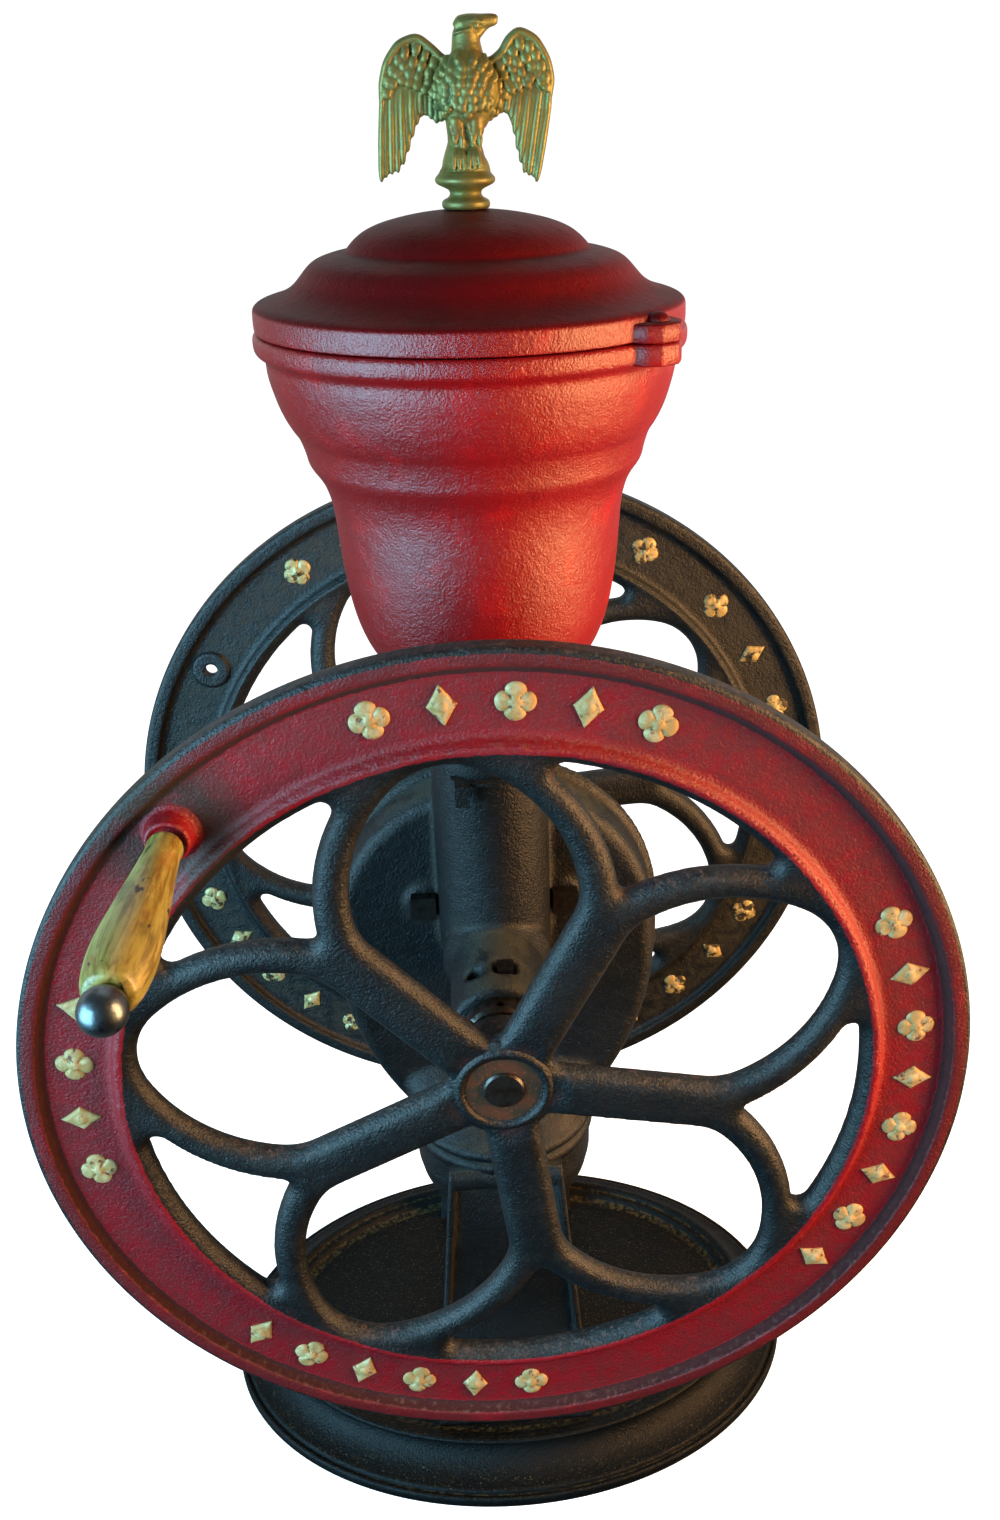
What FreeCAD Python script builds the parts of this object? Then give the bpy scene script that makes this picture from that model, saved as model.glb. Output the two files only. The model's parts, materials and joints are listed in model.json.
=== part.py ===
"""Counter coffee mill with two flywheels, a bell hopper and an eagle on its lid.

Millimetres. X runs to the right, Y to the rear along the main shaft, Z up.
The origin is the centre of the base's underside.
"""
import FreeCAD, Part
import Sketcher
import math
import os

V = FreeCAD.Vector
doc = FreeCAD.newDocument("counter_mill")
sheet = doc.addObject("Spreadsheet::Sheet", "Sizes")
pieces = []


# Sizes: each number of the sheet travels with the expression that it comes from

class Size:
    """A number and the sheet expression that gives it, so that sums of sizes stay bound to the sheet."""

    def __init__(self, value, text):
        self.value = value
        self.text = text

    def __add__(self, other):
        return joined(self, "+", other)

    def __radd__(self, other):
        return joined(other, "+", self)

    def __sub__(self, other):
        return joined(self, "-", other)

    def __rsub__(self, other):
        return joined(other, "-", self)

    def __mul__(self, other):
        return joined(self, "*", other)

    def __rmul__(self, other):
        return joined(other, "*", self)

    def __truediv__(self, other):
        return joined(self, "/", other)

    def __neg__(self):
        return joined(0, "-", self)


def number(size):
    return size.value if isinstance(size, Size) else float(size)


def words(size):
    return size.text if isinstance(size, Size) else repr(size)


def joined(left, sign, right):
    a, b = number(left), number(right)
    value = {"+": a + b, "-": a - b, "*": a * b, "/": a / b if sign == "/" else 0}[sign]
    return Size(value, "(%s %s %s)" % (words(left), sign, words(right)))


def cosine(angle):
    return Size(math.cos(math.radians(number(angle))), "cos(%s)" % words(angle))


def sine(angle):
    return Size(math.sin(math.radians(number(angle))), "sin(%s)" % words(angle))


def size(name, value):
    """Puts one driving dimension into the next row of the sheet and returns it."""
    size.row += 1
    sheet.set("A%d" % size.row, name)
    sheet.set("B%d" % size.row, str(value))
    sheet.setAlias("B%d" % size.row, name)
    return Size(float(value), "Sizes." + name)


size.row = 0


def bind(thing, prop, value):
    """Sets a property, and binds it to the sheet where the value comes from there."""
    if isinstance(value, Size):
        thing.setExpression(prop, value.text)
    elif "." not in prop:
        setattr(thing, prop, value)


def place(thing, x=0, y=0, z=0, axis=(0, 0, 1), turn=0):
    """Gives an object its place, with its coordinates bound to the sheet."""
    thing.Placement = FreeCAD.Placement(V(number(x), number(y), number(z)),
                                        FreeCAD.Rotation(V(*axis), number(turn)))
    for letter, value in zip("xyz", (x, y, z)):
        bind(thing, "Placement.Base." + letter, value)
    if isinstance(turn, Size):
        thing.setExpression("Placement.Rotation.Angle", turn.text)
    return thing


# Sketches and features

def new_body(label):
    body = doc.addObject("PartDesign::Body", label)
    body.Label = label
    pieces.append(body)
    return body


def origin_feature(body, role):
    return next(item for item in body.Origin.OriginFeatures if item.Role == role)


def new_sketch(body, plane, shift=0):
    """A sketch on one of the body's own planes, moved along the plane's normal by shift."""
    sketch = body.newObject("Sketcher::SketchObject", body.Label + "_sketch")
    sketch.AttachmentSupport = [(origin_feature(body, plane), "")]
    sketch.MapMode = "FlatFace"
    sketch.AttachmentOffset = FreeCAD.Placement(V(0, 0, number(shift)), FreeCAD.Rotation())
    bind(sketch, "AttachmentOffset.Base.z", shift)
    return sketch


def hold(sketch, kind, *where, value=0):
    """Adds a constraint, and binds its value to the sheet."""
    row = sketch.addConstraint(Sketcher.Constraint(kind, *where, number(value)))
    if isinstance(value, Size):
        sketch.setExpression("Constraints[%d]" % row, value.text)


def hold_point(sketch, item, end, x, y):
    """Fixes one point of a sketch at x, y from its origin."""
    for kind, value, axis in (("DistanceX", x, -2), ("DistanceY", y, -1)):
        if abs(number(value)) < 1e-9:
            sketch.addConstraint(Sketcher.Constraint("PointOnObject", item, end, axis))
        elif number(value) > 0:
            hold(sketch, kind, -1, 1, item, end, value=value)
        else:
            hold(sketch, kind, item, end, -1, 1, value=-value)


def outline(sketch, points):
    """Closed outline through x, y points.

    A third number makes the run that ends at the point an arc of that radius: plus turns left, minus right.
    """
    items = []
    for before, here in zip(points[-1:] + points[:-1], points):
        start = V(number(before[0]), number(before[1]), 0)
        end = V(number(here[0]), number(here[1]), 0)
        if len(here) == 2:
            items.append((sketch.addGeometry(Part.LineSegment(start, end)), 1, 2))
            continue
        radius = number(here[2])
        chord = end - start
        height = math.sqrt(max(radius * radius - chord.Length ** 2 / 4, 0))
        left = V(-chord.y, chord.x, 0).normalize()
        middle = (start + end) * 0.5 + left * (height if radius > 0 else -height)
        circle = Part.Circle(middle, V(0, 0, 1), abs(radius))
        first, last = (start, end) if radius > 0 else (end, start)
        spread = [math.atan2(p.y - middle.y, p.x - middle.x) for p in (first, last)]
        item = sketch.addGeometry(Part.ArcOfCircle(circle, *spread))
        items.append((item, 1, 2) if radius > 0 else (item, 2, 1))
        hold(sketch, "Radius", item, value=here[2] if radius > 0 else -here[2])
    for (item, _, end), (following, start, _) in zip(items, items[1:] + items[:1]):
        sketch.addConstraint(Sketcher.Constraint("Coincident", item, end, following, start))
    for (item, _, end), here in zip(items, points):
        hold_point(sketch, item, end, here[0], here[1])


def circle(sketch, x, y, radius):
    item = sketch.addGeometry(Part.Circle(V(number(x), number(y), 0), V(0, 0, 1), number(radius)))
    if abs(number(x)) + abs(number(y)) < 1e-9:
        sketch.addConstraint(Sketcher.Constraint("Coincident", item, 3, -1, 1))
    else:
        hold_point(sketch, item, 3, x, y)
    hold(sketch, "Radius", item, value=radius)


def ellipse(sketch, across, along, y=0):
    """Ellipse with half-axes across (x) and along (y), centred at 0, y."""
    middle, a, b = number(y), number(across), number(along)
    if abs(a - b) < 1e-9:
        circle(sketch, 0, y, across)
        return
    ends = [V(a, middle, 0), V(-a, middle, 0), V(0, middle + b, 0), V(0, middle - b, 0)]
    if a >= b:
        shape = Part.Ellipse(ends[0], ends[2], V(0, middle, 0))
    else:
        shape = Part.Ellipse(ends[2], ends[1], V(0, middle, 0))
    item = sketch.addGeometry(shape)
    sketch.exposeInternalGeometry(item)
    major, minor = item + 1, item + 2
    hold_point(sketch, item, 3, 0, y)
    if a >= b:
        sketch.addConstraint(Sketcher.Constraint("Horizontal", major))
        hold(sketch, "Distance", major, value=2 * across)
        hold(sketch, "Distance", minor, value=2 * along)
    else:
        sketch.addConstraint(Sketcher.Constraint("Vertical", major))
        hold(sketch, "Distance", major, value=2 * along)
        hold(sketch, "Distance", minor, value=2 * across)


def feature(body, kind, **settings):
    item = body.newObject("PartDesign::" + kind, body.Label + "_" + kind.lower())
    for prop, value in settings.items():
        if isinstance(value, Size):
            item.setExpression(prop, value.text)
        else:
            setattr(item, prop, value)
    return item


def pad(body, sketch, length, reverse=False):
    """Adds along the sketch's normal (up from XY, to the front from XZ), or the other way."""
    return feature(body, "Pad", Profile=sketch, Length=length, Reversed=reverse)


def pocket(body, sketch, depth=None, reverse=False):
    """Cuts against the sketch's normal (down from XY, to the rear from XZ), or the other way, or right through."""
    if depth is None:
        return feature(body, "Pocket", Profile=sketch, Type=1, Midplane=True)
    return feature(body, "Pocket", Profile=sketch, Length=depth, Reversed=reverse)


def turned(body, plane, axis, points, cut=False):
    """Revolves an outline about the sketch's own V_Axis or H_Axis."""
    sketch = new_sketch(body, plane)
    outline(sketch, points)
    return feature(body, "Groove" if cut else "Revolution", Profile=sketch,
                   ReferenceAxis=(sketch, [axis]), Angle=360.0)


def lofted(body, sketches, cut=False, ruled=True):
    return feature(body, "SubtractiveLoft" if cut else "AdditiveLoft", Profile=sketches[0],
                   Sections=sketches[1:], Ruled=ruled)


def repeated(body, original, role, count):
    """Repeats a feature evenly round one of the body's own axes."""
    pattern = feature(body, "PolarPattern", Originals=[original], Axis=(origin_feature(body, role), [""]),
                      Angle=360.0, Occurrences=count)
    body.Tip = pattern
    return pattern


def rounded(body, radius, wanted):
    """Fillets the edges of the body's tip for which wanted(edge) is true."""
    doc.recompute()
    base = body.Tip
    names = ["Edge%d" % (i + 1) for i, edge in enumerate(base.Shape.Edges) if wanted(edge)]
    return feature(body, "Fillet", Base=(base, names), Radius=radius)


def all_at(edge, test):
    """True where both ends and the middle of an edge pass the test."""
    middle = edge.valueAt((edge.FirstParameter + edge.LastParameter) / 2)
    return all(test(point) for point in [vertex.Point for vertex in edge.Vertexes] + [middle])


def group(label, members):
    """One node that holds several equal solids."""
    compound = doc.addObject("Part::Compound", label)
    compound.Label = label
    compound.Links = members
    pieces.append(compound)
    return compound


def bolt(name, head_sides, head_across, head_high, shank_r, shank_long, spot, axis=(0, 0, 1), turn=0):
    """A bolt whose shank points along its own +Z and whose head lies below z 0."""
    head = doc.addObject("Part::Prism", name + "_head")
    head.Polygon = head_sides
    head.Placement = FreeCAD.Placement(V(), FreeCAD.Rotation(V(0, 0, 1), 180 / head_sides))
    bind(head, "Circumradius", head_across / (2 * math.cos(math.pi / head_sides)))
    bind(head, "Height", head_high)
    bind(head, "Placement.Base.z", -head_high)
    shank = doc.addObject("Part::Cylinder", name + "_shank")
    bind(shank, "Radius", shank_r)
    bind(shank, "Height", shank_long)
    whole = doc.addObject("Part::Fuse", name)
    whole.Base = head
    whole.Tool = shank
    return place(whole, *spot, axis=axis, turn=turn)


# Driving dimensions that several castings share

axle_z = size("axle_z", 297)
shaft_r = size("shaft_r", 9.5)
running_gap = size("running_gap", 0.05)
press_gap = size("press_gap", 0.02)
flange_r = size("flange_r", 52)
flange_z = size("flange_z", 172.5)
TOWARDS_REAR = ((1, 0, 0), -90)
TOWARDS_FRONT = ((1, 0, 0), 90)


# Base: an oval casting with a square foot, a cove, a raised rim and a sunk pan

foot_x = size("foot_x", 168.5)
foot_y = size("foot_y", 130)
foot_high = size("foot_high", 6.2)
foot_step = size("foot_step", 2.5)
rim_x = size("rim_x", 146.5)
rim_y = size("rim_y", 106.3)
rim_z = size("rim_z", 22.3)
rim_wide = size("rim_wide", 4)
pan_z = size("pan_z", 16)
pan_cove = size("pan_cove", 7)
pan_thick = size("pan_thick", 5)
base_wall = size("base_wall", 7)


def oval(body, z, inset):
    """An oval that runs inset from the rim's outer edge, at height z."""
    sketch = new_sketch(body, "XY_Plane", z)
    ellipse(sketch, rim_x - inset, rim_y - inset)
    return sketch


base = new_body("base")
foot = new_sketch(base, "XY_Plane")
ellipse(foot, foot_x, foot_y)
pad(base, foot, foot_high)
cove_wide = foot_x - foot_step - rim_x
cove_steps = 4
cove = []
for step in range(cove_steps + 1):
    slope = 90 * step / cove_steps
    cove.append(oval(base, foot_high + (rim_z - foot_high) * (1 - math.cos(math.radians(slope))),
                     -cove_wide * (1 - math.sin(math.radians(slope)))))
lofted(base, cove, ruled=False)
lofted(base, [oval(base, pan_z, rim_wide + pan_cove), oval(base, rim_z, rim_wide)], cut=True)
hollow = oval(base, 0, base_wall)
pocket(base, hollow, pan_z - pan_thick, reverse=True)
rim_round = size("rim_round", 1.2)
rounded(base, rim_round, lambda edge: all_at(edge, lambda p: abs(p.z - rim_z.value) < 0.01))
foot_round = size("foot_round", 1.5)
rounded(base, foot_round, lambda edge: all_at(edge, lambda p: abs(p.z - foot_high.value) < 0.01
                                              and abs(p.x / foot_x.value) ** 2
                                              + abs(p.y / foot_y.value) ** 2 > 0.995))


# Pedestal: a round funnel on two broad legs that lean outwards

leg_top_half = size("leg_top_half", 31)
leg_foot_half = size("leg_foot_half", 44)
leg_top_y = size("leg_top_y", 50)
leg_foot_y = size("leg_foot_y", 88)
leg_thick = size("leg_thick", 11)
leg_border = size("leg_border", 6)
leg_recess = size("leg_recess", 3)
funnel_r = size("funnel_r", 50)
funnel_waist_r = size("funnel_waist_r", 38)
funnel_low_r = size("funnel_low_r", 34)
funnel_wall = size("funnel_wall", 5)
funnel_low_z = size("funnel_low_z", 110)
funnel_arc = size("funnel_arc", 60)
outlet_r = size("outlet_r", 36)
flange_thick = size("flange_thick", 8)
leg_head_z = flange_z - 4
recess_foot = size("recess_foot", 8)
recess_head = size("recess_head", 22)
recess_clear = size("recess_clear", 5)
bore_top = flange_z - 11
swell_z = flange_z - 25
waist_z = flange_z - 50
bead_out_z = size("bead_out_z", 2.5)
bead_in_z = size("bead_in_z", 6)
bead_step = size("bead_step", 2)

pedestal = new_body("pedestal")
turned(pedestal, "XZ_Plane", "V_Axis", [
    (outlet_r, bore_top), (outlet_r, flange_z), (flange_r - bead_step, flange_z),
    (flange_r, flange_z - bead_out_z), (flange_r, flange_z - bead_in_z, -bead_in_z),
    (funnel_r, flange_z - flange_thick), (funnel_r, swell_z), (funnel_waist_r, waist_z, -funnel_arc),
    (funnel_low_r, funnel_low_z), (funnel_low_r - funnel_wall, funnel_low_z),
    (funnel_waist_r - funnel_wall, waist_z + 1), (funnel_r - funnel_wall, swell_z, funnel_arc),
    (funnel_r - funnel_wall, bore_top)])


def leg_section(side, z, half, out, deep):
    """A rectangle across one leg at height z, from out beyond its outer face to deep behind that face."""
    sketch = new_sketch(pedestal, "XY_Plane", z)
    face = leg_foot_y + (leg_top_y - leg_foot_y) * ((z - pan_z) / (leg_head_z - pan_z))
    near, far = side * (face + out), side * (face - deep)
    outline(sketch, [(half, near), (half, far), (-half, far), (-half, near)])
    return sketch


for side in (-1, 1):
    lofted(pedestal, [leg_section(side, pan_z, leg_foot_half, 0, leg_thick),
                      leg_section(side, leg_head_z, leg_top_half, 0, leg_thick)])
    lofted(pedestal, [leg_section(side, pan_z + recess_foot, leg_foot_half - leg_border, recess_clear, leg_recess),
                      leg_section(side, flange_z - recess_head, leg_top_half - leg_border, recess_clear,
                                  leg_recess)], cut=True)
for top, low, r in ((bore_top, swell_z, funnel_r), (swell_z, waist_z - 1, funnel_waist_r)):
    bore = new_sketch(pedestal, "XY_Plane", top)
    circle(bore, 0, 0, r - funnel_wall)
    pocket(pedestal, bore, top - low)

bolt_x = size("bolt_x", 28)
bolt_y = leg_foot_y - leg_thick / 2
bolt_r = size("bolt_r", 3)
bolt_deep = size("bolt_deep", 9)
for body, level, deep in ((base, pan_z, None), (pedestal, pan_z, bolt_deep)):
    holes = new_sketch(body, "XY_Plane", level)
    for x in (-bolt_x, bolt_x):
        for y in (-bolt_y, bolt_y):
            circle(holes, x, y, bolt_r + running_gap)
    if deep is None:
        pocket(body, holes)
    else:
        pocket(body, holes, deep, reverse=True)
bolt_head = size("bolt_head", 10)
bolt_head_high = size("bolt_head_high", 4)
group("pedestal_bolts", [
    bolt("pedestal_bolt", 6, bolt_head, bolt_head_high, bolt_r, pan_thick + bolt_deep - 0.5,
         (x, y, pan_z - pan_thick))
    for x in (-bolt_x, bolt_x) for y in (-bolt_y, bolt_y)])


# Front half of the grinding case: a pear-shaped drum with a throat, a bearing barrel and a chute neck

drum_r = size("drum_r", 86)
drum_lip = size("drum_lip", 4)
cover_gap = size("cover_gap", 0.3)
drum_front = size("drum_front", -8)
drum_back = size("drum_back", 20)
lip_thick = size("lip_thick", 3)
drum_wall = size("drum_wall", 5)
drum_side = size("drum_side", 30)
pear_r = size("pear_r", 180)
pear_low_half = size("pear_low_half", 51)
pear_low = size("pear_low", 117)
barrel_r = size("barrel_r", 24)
barrel_end = size("barrel_end", 98)
throat_r = size("throat_r", 29)
throat_y = size("throat_y", -17)
throat_back = size("throat_back", 3)
throat_bore = size("throat_bore", 18.5)
throat_top = size("throat_top", 428)
bush_r = size("bush_r", 14)
burr_bolt_ring = size("burr_bolt_ring", 42)
burr_bolt_angle = size("burr_bolt_angle", 27.5)
burr_bolt_r = size("burr_bolt_r", 4)
boss_r = size("boss_r", 9.5)
boss_high = size("boss_high", 2)
burr_spots = [(side * burr_bolt_ring * cosine(burr_bolt_angle), burr_bolt_ring * sine(burr_bolt_angle))
              for side in (1, -1)] + [(0, -burr_bolt_ring)]


def pear(sketch, grow=0):
    """The drum's outline round the shaft's axis: a half circle on two sides that draw in to the neck."""
    r, low = drum_r + grow, pear_low_half + grow
    outline(sketch, [(r, axle_z - drum_side, pear_r), (r, axle_z), (0, axle_z + r, r), (-r, axle_z, r),
                     (-r, axle_z - drum_side), (-low, axle_z - pear_low, pear_r), (low, axle_z - pear_low)])


def obround(sketch, front, back, radius):
    """Two half circles about front and back on the Y axis, joined by straight sides."""
    outline(sketch, [(radius, front, radius), (radius, back), (0, back + radius, radius),
                     (-radius, back, radius), (-radius, front), (0, front - radius, radius)])


case_front = new_body("case_front")
drum = new_sketch(case_front, "XZ_Plane", -drum_front)
pear(drum)
pad(case_front, drum, drum_back - drum_front, reverse=True)
drum_round = size("drum_round", 7)
rounded(case_front, drum_round, lambda edge: all_at(
    edge, lambda p: abs(p.y - drum_front.value) < 0.01) and not all_at(edge, lambda p: p.z < 181))
bosses = new_sketch(case_front, "XZ_Plane", boss_high - drum_front)
for x, z in burr_spots:
    circle(bosses, x, axle_z + z, boss_r)
pad(case_front, bosses, boss_high + 1, reverse=True)
lip = new_sketch(case_front, "XZ_Plane", -(drum_back - lip_thick))
pear(lip, drum_lip)
pad(case_front, lip, lip_thick, reverse=True)
chute = []
for z, half, deep, middle in ((flange_z + 7, funnel_r, funnel_r, 0), (flange_z + 36, pear_low_half + 13, 17, 6)):
    section = new_sketch(case_front, "XY_Plane", z)
    ellipse(section, half, deep, middle)
    chute.append(section)
lofted(case_front, chute)
turned(case_front, "XZ_Plane", "V_Axis", [
    (outlet_r, flange_z), (flange_r - bead_step, flange_z), (flange_r, flange_z + bead_out_z),
    (flange_r, flange_z + bead_in_z, bead_in_z), (funnel_r, flange_z + flange_thick),
    (outlet_r, flange_z + flange_thick)])
tube = new_sketch(case_front, "XY_Plane", axle_z)
obround(tube, throat_y, throat_back, throat_r)
pad(case_front, tube, throat_top - axle_z)
barrel = new_sketch(case_front, "XZ_Plane", -drum_front)
circle(barrel, 0, axle_z, barrel_r)
pad(case_front, barrel, barrel_end + drum_front)
barrel_round = size("barrel_round", 2.5)
rounded(case_front, barrel_round, lambda edge: all_at(edge, lambda p: abs(p.y + barrel_end.value) < 0.01))
shoulder_r = size("shoulder_r", 28.2)
shoulder = []
for y, r in ((drum_front, shoulder_r), (throat_y - 20, shoulder_r), (throat_y - throat_r - 4, barrel_r - 0.5)):
    section = new_sketch(case_front, "XZ_Plane", -y)
    circle(section, 0, axle_z, r)
    shoulder.append(section)
lofted(case_front, shoulder)

flange_half = size("flange_half", 46)
flange_low = size("flange_low", 6)
top_flange = new_sketch(case_front, "XY_Plane", throat_top - flange_low)
circle(top_flange, 0, 0, flange_half)
pad(case_front, top_flange, flange_low)

chamber = new_sketch(case_front, "XZ_Plane", -drum_back)
pear(chamber, -drum_wall)
pocket(case_front, chamber, drum_back - drum_front - drum_wall, reverse=True)
inner_chute = []
for z, half, deep, middle in ((flange_z + 7, funnel_r - 8, funnel_r - 8, 0),
                              (flange_z + 34, pear_low_half + 4, 11, 6)):
    section = new_sketch(case_front, "XY_Plane", z)
    ellipse(section, half, deep, middle)
    inner_chute.append(section)
lofted(case_front, inner_chute, cut=True)
outlet = new_sketch(case_front, "XY_Plane", flange_z)
circle(outlet, 0, 0, outlet_r)
pocket(case_front, outlet, 12, reverse=True)
cover_room = new_sketch(case_front, "XZ_Plane", -drum_back)
circle(cover_room, 0, axle_z, drum_r + drum_lip + cover_gap)
pocket(case_front, cover_room, throat_back + throat_r)
throat_hole = new_sketch(case_front, "XY_Plane", throat_top)
obround(throat_hole, throat_y, throat_back, throat_bore)
drum_roof = drum_r + 8
pocket(case_front, throat_hole, throat_top - axle_z - drum_roof)
feed_hole = new_sketch(case_front, "XY_Plane", throat_top)
feed_back = size("feed_back", -14)
worm_room = size("worm_room", 20)
outline(feed_hole, [(worm_room - 6, throat_y - throat_bore), (worm_room, throat_y - throat_bore + 6, 6),
                    (worm_room, feed_back), (-worm_room, feed_back),
                    (-worm_room, throat_y - throat_bore + 6), (6 - worm_room, throat_y - throat_bore, 6)])
pocket(case_front, feed_hole, throat_top - axle_z)
worm_hole = new_sketch(case_front, "XZ_Plane", -drum_front)
circle(worm_hole, 0, axle_z, worm_room)
pocket(case_front, worm_hole, -(throat_y - throat_bore) + drum_front, reverse=True)
burr_hole = new_sketch(case_front, "XZ_Plane", -drum_front)
circle(burr_hole, 0, axle_z, worm_room)
pocket(case_front, burr_hole, drum_wall + 0.1)
bush_hole = new_sketch(case_front, "XZ_Plane", barrel_end)
circle(bush_hole, 0, axle_z, bush_r)
pocket(case_front, bush_hole, barrel_end + throat_y - throat_bore)

oil_x = size("oil_x", -11)
oil_y = size("oil_y", -79)
oil_r = size("oil_r", 4.2)
screw_x = size("screw_x", 3.5)
screw_seat = size("screw_seat", 5.5)
screw_r = size("screw_r", 3)
oil_hole = new_sketch(case_front, "XY_Plane", axle_z + barrel_r)
circle(oil_hole, oil_x, oil_y, oil_r)
pocket(case_front, oil_hole, barrel_r - bush_r + 2)
seat = new_sketch(case_front, "XY_Plane", axle_z + barrel_r)
outline(seat, [(screw_x - screw_seat, oil_y - screw_seat), (screw_x + screw_seat, oil_y - screw_seat),
               (screw_x + screw_seat, oil_y + screw_seat), (screw_x - screw_seat, oil_y + screw_seat)])
seat_deep = size("seat_deep", 5)
pocket(case_front, seat, seat_deep)
screw_hole = new_sketch(case_front, "XY_Plane", axle_z + barrel_r)
circle(screw_hole, screw_x, oil_y, screw_r + running_gap)
pocket(case_front, screw_hole, barrel_r - bush_r + 1)
screw_head = size("screw_head", 8)
screw_head_high = size("screw_head_high", 6)
group("bearing_screw", [bolt("bearing_set_screw", 4, screw_head, screw_head_high, screw_r,
                             barrel_r - bush_r - seat_deep, (screw_x, oil_y, axle_z + barrel_r - seat_deep),
                             axis=(1, 0, 0), turn=180)])


# Feed gate: a thin plate that slides in a slot of the throat, with a bent finger tab

gate_z = size("gate_z", 404)
gate_thick = size("gate_thick", 1.8)
gate_half = size("gate_half", 19)
gate_gap = size("gate_gap", 0.3)
gate_front = size("gate_front", -50)
gate_back = size("gate_back", 23)
gate_tab = size("gate_tab", 11)
slot = new_sketch(case_front, "XY_Plane", gate_z - gate_thick / 2 - gate_gap)
outline(slot, [(-gate_half - gate_gap, gate_front - 4), (gate_half + gate_gap, gate_front - 4),
               (gate_half + gate_gap, gate_back + gate_gap), (-gate_half - gate_gap, gate_back + gate_gap)])
pocket(case_front, slot, gate_thick + 2 * gate_gap, reverse=True)

feed_gate = new_body("feed_gate")
plate = new_sketch(feed_gate, "XY_Plane", gate_z - gate_thick / 2)
outline(plate, [(-gate_half, gate_front + 6), (0, gate_front, 34), (gate_half, gate_front + 6, 34),
                (gate_half, gate_back), (-gate_half, gate_back)])
pad(feed_gate, plate, gate_thick)
tab = new_sketch(feed_gate, "XY_Plane", gate_z + gate_thick / 2)
tab_left = size("tab_left", -17)
tab_wide = size("tab_wide", 7)
outline(tab, [(tab_left, gate_front + 1), (tab_left + tab_wide, gate_front - 1),
              (tab_left + tab_wide, gate_front + 6), (tab_left, gate_front + 6)])
pad(feed_gate, tab, gate_thick, reverse=True)
hook = new_sketch(feed_gate, "XY_Plane", gate_z + gate_thick / 2)
outline(hook, [(tab_left, gate_front - 2), (tab_left + tab_wide, gate_front - 3),
               (tab_left + tab_wide, gate_front - 0.5), (tab_left, gate_front + 1)])
pad(feed_gate, hook, gate_tab, reverse=True)


# Rear cover of the case, with the rear bearing barrel

cover_thick = size("cover_thick", 5)
cover_low_half = size("cover_low_half", 77)
cover_low = size("cover_low", 84)
dome_r = size("dome_r", 50)
dome_long = size("dome_long", 24)
cover_bore = size("cover_bore", 11)
case_rear = new_body("case_rear")
cover = new_sketch(case_rear, "XZ_Plane", -drum_back)
cover_r = drum_r + drum_lip
outline(cover, [(cover_r, axle_z - drum_side, pear_r), (cover_r, axle_z), (0, axle_z + cover_r, cover_r),
                (-cover_r, axle_z, cover_r), (-cover_r, axle_z - drum_side),
                (-cover_low_half, axle_z - cover_low, pear_r), (cover_low_half, axle_z - cover_low)])
pad(case_rear, cover, cover_thick, reverse=True)
hub = new_sketch(case_rear, "XZ_Plane", -drum_back)
circle(hub, 0, axle_z, barrel_r)
pad(case_rear, hub, barrel_end - drum_back, reverse=True)
dome = []
for y, r in ((drum_back + cover_thick, dome_r), (drum_back + dome_long, barrel_r)):
    section = new_sketch(case_rear, "XZ_Plane", -y)
    circle(section, 0, axle_z, r)
    dome.append(section)
lofted(case_rear, dome)
rounded(case_rear, barrel_round, lambda edge: all_at(edge, lambda p: abs(p.y - barrel_end.value) < 0.01))
shaft_way = new_sketch(case_rear, "XZ_Plane", -drum_back)
circle(shaft_way, 0, axle_z, cover_bore)
pocket(case_rear, shaft_way)
bush_long = size("bush_long", 52)
rear_hole = new_sketch(case_rear, "XZ_Plane", -barrel_end)
circle(rear_hole, 0, axle_z, bush_r)
pocket(case_rear, rear_hole, bush_long, reverse=True)

cover_bolt_ring = size("cover_bolt_ring", 83.5)
cover_bolt_r = size("cover_bolt_r", 2)
cover_bolt_head = size("cover_bolt_head", 8)
cover_bolt_long = size("cover_bolt_long", 16)
cover_bolt_angles = (0, 45, 90, 135, 180)
cover_spots = [(cover_bolt_ring * cosine(angle), axle_z + cover_bolt_ring * sine(angle))
               for angle in cover_bolt_angles]
for body, start, deep in ((case_rear, drum_back, cover_thick), (case_front, drum_back, cover_bolt_long)):
    holes = new_sketch(body, "XZ_Plane", -start)
    for x, z in cover_spots:
        circle(holes, x, z, cover_bolt_r + running_gap)
    pocket(body, holes, deep, reverse=body is case_front)
group("case_bolts", [
    bolt("case_bolt", 6, cover_bolt_head, bolt_head_high, cover_bolt_r, cover_bolt_long + cover_thick - 0.5,
         (x, drum_back + cover_thick, z), axis=TOWARDS_FRONT[0], turn=TOWARDS_FRONT[1])
    for x, z in cover_spots])


# Screws that hold the case down on the pedestal, from inside the funnel

neck_ring = size("neck_ring", 41)
neck_screw_r = size("neck_screw_r", 2)
neck_spots = [(neck_ring * cosine(angle), neck_ring * sine(angle)) for angle in (0, 90, 180, 270)]
for body, start, deep, up in ((pedestal, flange_z, 12, False), (case_front, flange_z, 7.5, True)):
    holes = new_sketch(body, "XY_Plane", start)
    for x, y in neck_spots:
        circle(holes, x, y, neck_screw_r + running_gap)
    pocket(body, holes, deep, reverse=up)
neck_head = size("neck_head", 6)
neck_head_high = size("neck_head_high", 3)
neck_screw_long = size("neck_screw_long", 18)
group("neck_screws", [
    bolt("neck_screw", 6, neck_head, neck_head_high, neck_screw_r, neck_screw_long, (x, y, bore_top))
    for x, y in neck_spots])


# Burrs: a fixed ring bolted to the drum's front wall, and a driven plate behind it

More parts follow.
